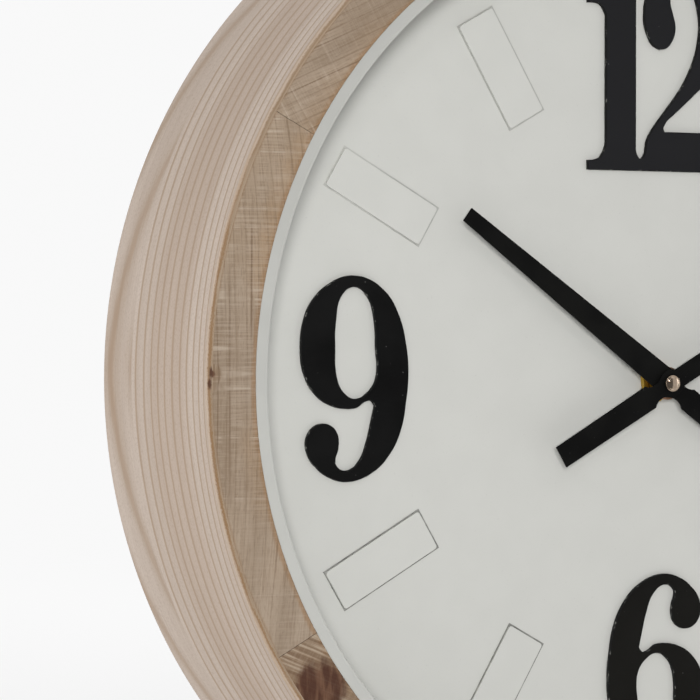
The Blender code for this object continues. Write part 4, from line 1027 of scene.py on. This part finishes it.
sleeve = new_finish("battery_jacket")
at = sleeve.place()
from_end = sleeve.node("SeparateXYZ", sockets={0: at}, output=0) - cell_low.x
cap = 1 - from_end.rise(near_cap, near_cap + sharp_step)
cap = cap.larger(from_end.rise(far_cap, far_cap + sharp_step))
band = from_end.rise(copper_band, copper_band + sharp_step)
scuff = sleeve.noise(at, 500, 3)
colour = sleeve.blend(band, shade(44, 45, 47), shade(176, 122, 66))
colour = sleeve.blend(scuff.rise(0.62, 0.8) * 0.3, colour, shade(120, 120, 118))
colour = sleeve.blend(cap, colour, shade(190, 190, 187))
sleeve.feed(
    Base_Color=colour,
    Metallic=cap,
    Roughness=0.25 + scuff * 0.2,
    Normal=sleeve.bump(scuff, 0.00002),
)
cell = from_solid("cell_in_sleeve", "battery", sleeve.owner, crease=50)
fit(cell, "clock", "battery_jacket", "battery")

# Nut, bushing and collet
# The movement's threaded brass bushing comes through the board, with a hexagon nut on it. The hour
# hand is pressed on a small plated collet.
nut_softening = 0.00025
collet_softening = 0.00015

nut = from_solid("hexagon_nut", "fixing_nut", brass.owner)
fit(soften(nut, nut_softening), "clock", "brass", "fixing_nut")
bush = from_solid("bushing_tube", "bushing", brass.owner)
fit(bush, "clock", "brass", "bushing")

rose_gold = new_finish("cap_plating", Metallic=1.0)
at = rose_gold.place()
film = rose_gold.noise(at, 700, 2)
colour = rose_gold.mottled(film, shade(214, 193, 173), shade(198, 176, 154))
rose_gold.feed(
    Base_Color=colour, Roughness=0.06 + film * 0.14, Normal=rose_gold.bump(film, 0.00001)
)
# The collet's plating is painted darker and browner than the cap's: painted shade for its place
# under the hour hand.
collet_plating_in_shade = new_finish("collet_plating_in_shade", Metallic=1.0)
plating_mottle = collet_plating_in_shade.noise(collet_plating_in_shade.place(), 500, 3)
colour = collet_plating_in_shade.mottled(plating_mottle, shade(186, 146, 120), shade(150, 112, 88))
collet_plating_in_shade.feed(
    Base_Color=colour, Roughness=0.3 + plating_mottle * 0.2, Normal=collet_plating_in_shade.bump(plating_mottle, 0.00001)
)
collet = from_solid("hour_hand_collet", "hour_collet", collet_plating_in_shade.owner)
fit(soften(collet, collet_softening), "hour_group", "cap_plating", "hour_collet")

# Hands
# Two straight hands stamped from thin sheet and painted matt black, each with a short tail.
hand_softening = 0.00012

hand_black = new_finish("hand_black", Roughness=0.6, Specular_IOR_Level=0.08)
at = hand_black.place()
specks = hand_black.noise(at, 900, 1)
sheen = hand_black.noise(at, 60, 2)
colour = hand_black.mottled(sheen, shade(11, 11, 11), shade(20, 20, 19))
colour = hand_black.blend(specks.rise(0.74, 0.8) * 0.3, colour, shade(80, 80, 78))
hand_black.feed(
    Base_Color=colour, Roughness=0.5 + sheen * 0.2, Normal=hand_black.bump(specks, 0.00003)
)
for name in ("hour", "minute"):
    hand = from_solid(f"{name}_hand_blade", f"{name}_hand", hand_black.owner)
    fit(soften(hand, hand_softening), f"{name}_group", "hand_black", f"{name}_hand")

# Cap nut
# A small plated dome screws on the end of the minute arbor and holds the minute hand.
nut_low, nut_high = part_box("cap_nut")
arbor_drop = 0.0024
dome_steps = 72
dome_rows = 10
rim_inset = 0.00025
rim_height = 0.0008
bead = 0.00022
bead_span = 1.6
rim_radius = (nut_high.x - nut_low.x) / 2 - rim_inset
rim_y = nut_high.y - rim_height
cap_profile = [(0, nut_high.y), (rim_radius, nut_high.y)]
cap_profile += arc((rim_radius - bead, rim_y + bead), bead, 0, 4, -math.pi / 2)
dome_base = rim_radius - bead * bead_span
rise = rim_y - nut_low.y
sphere = (dome_base * dome_base + rise * rise) / (2 * rise)
for i in range(dome_rows + 1):
    reach = dome_base * (1 - i / dome_rows)
    cap_profile.append(
        (reach, nut_low.y + sphere - math.sqrt(sphere * sphere - reach * reach))
    )
nut_hub = Vector((0, centre.y, centre.z - arbor_drop))
cap_shape = spun(cap_profile, dome_steps, hub=nut_hub)
cap = piece("cap_nut_dome", cap_shape, rose_gold.owner, crease=50)
fit(cap, "minute_group", "cap_plating", "cap_nut")
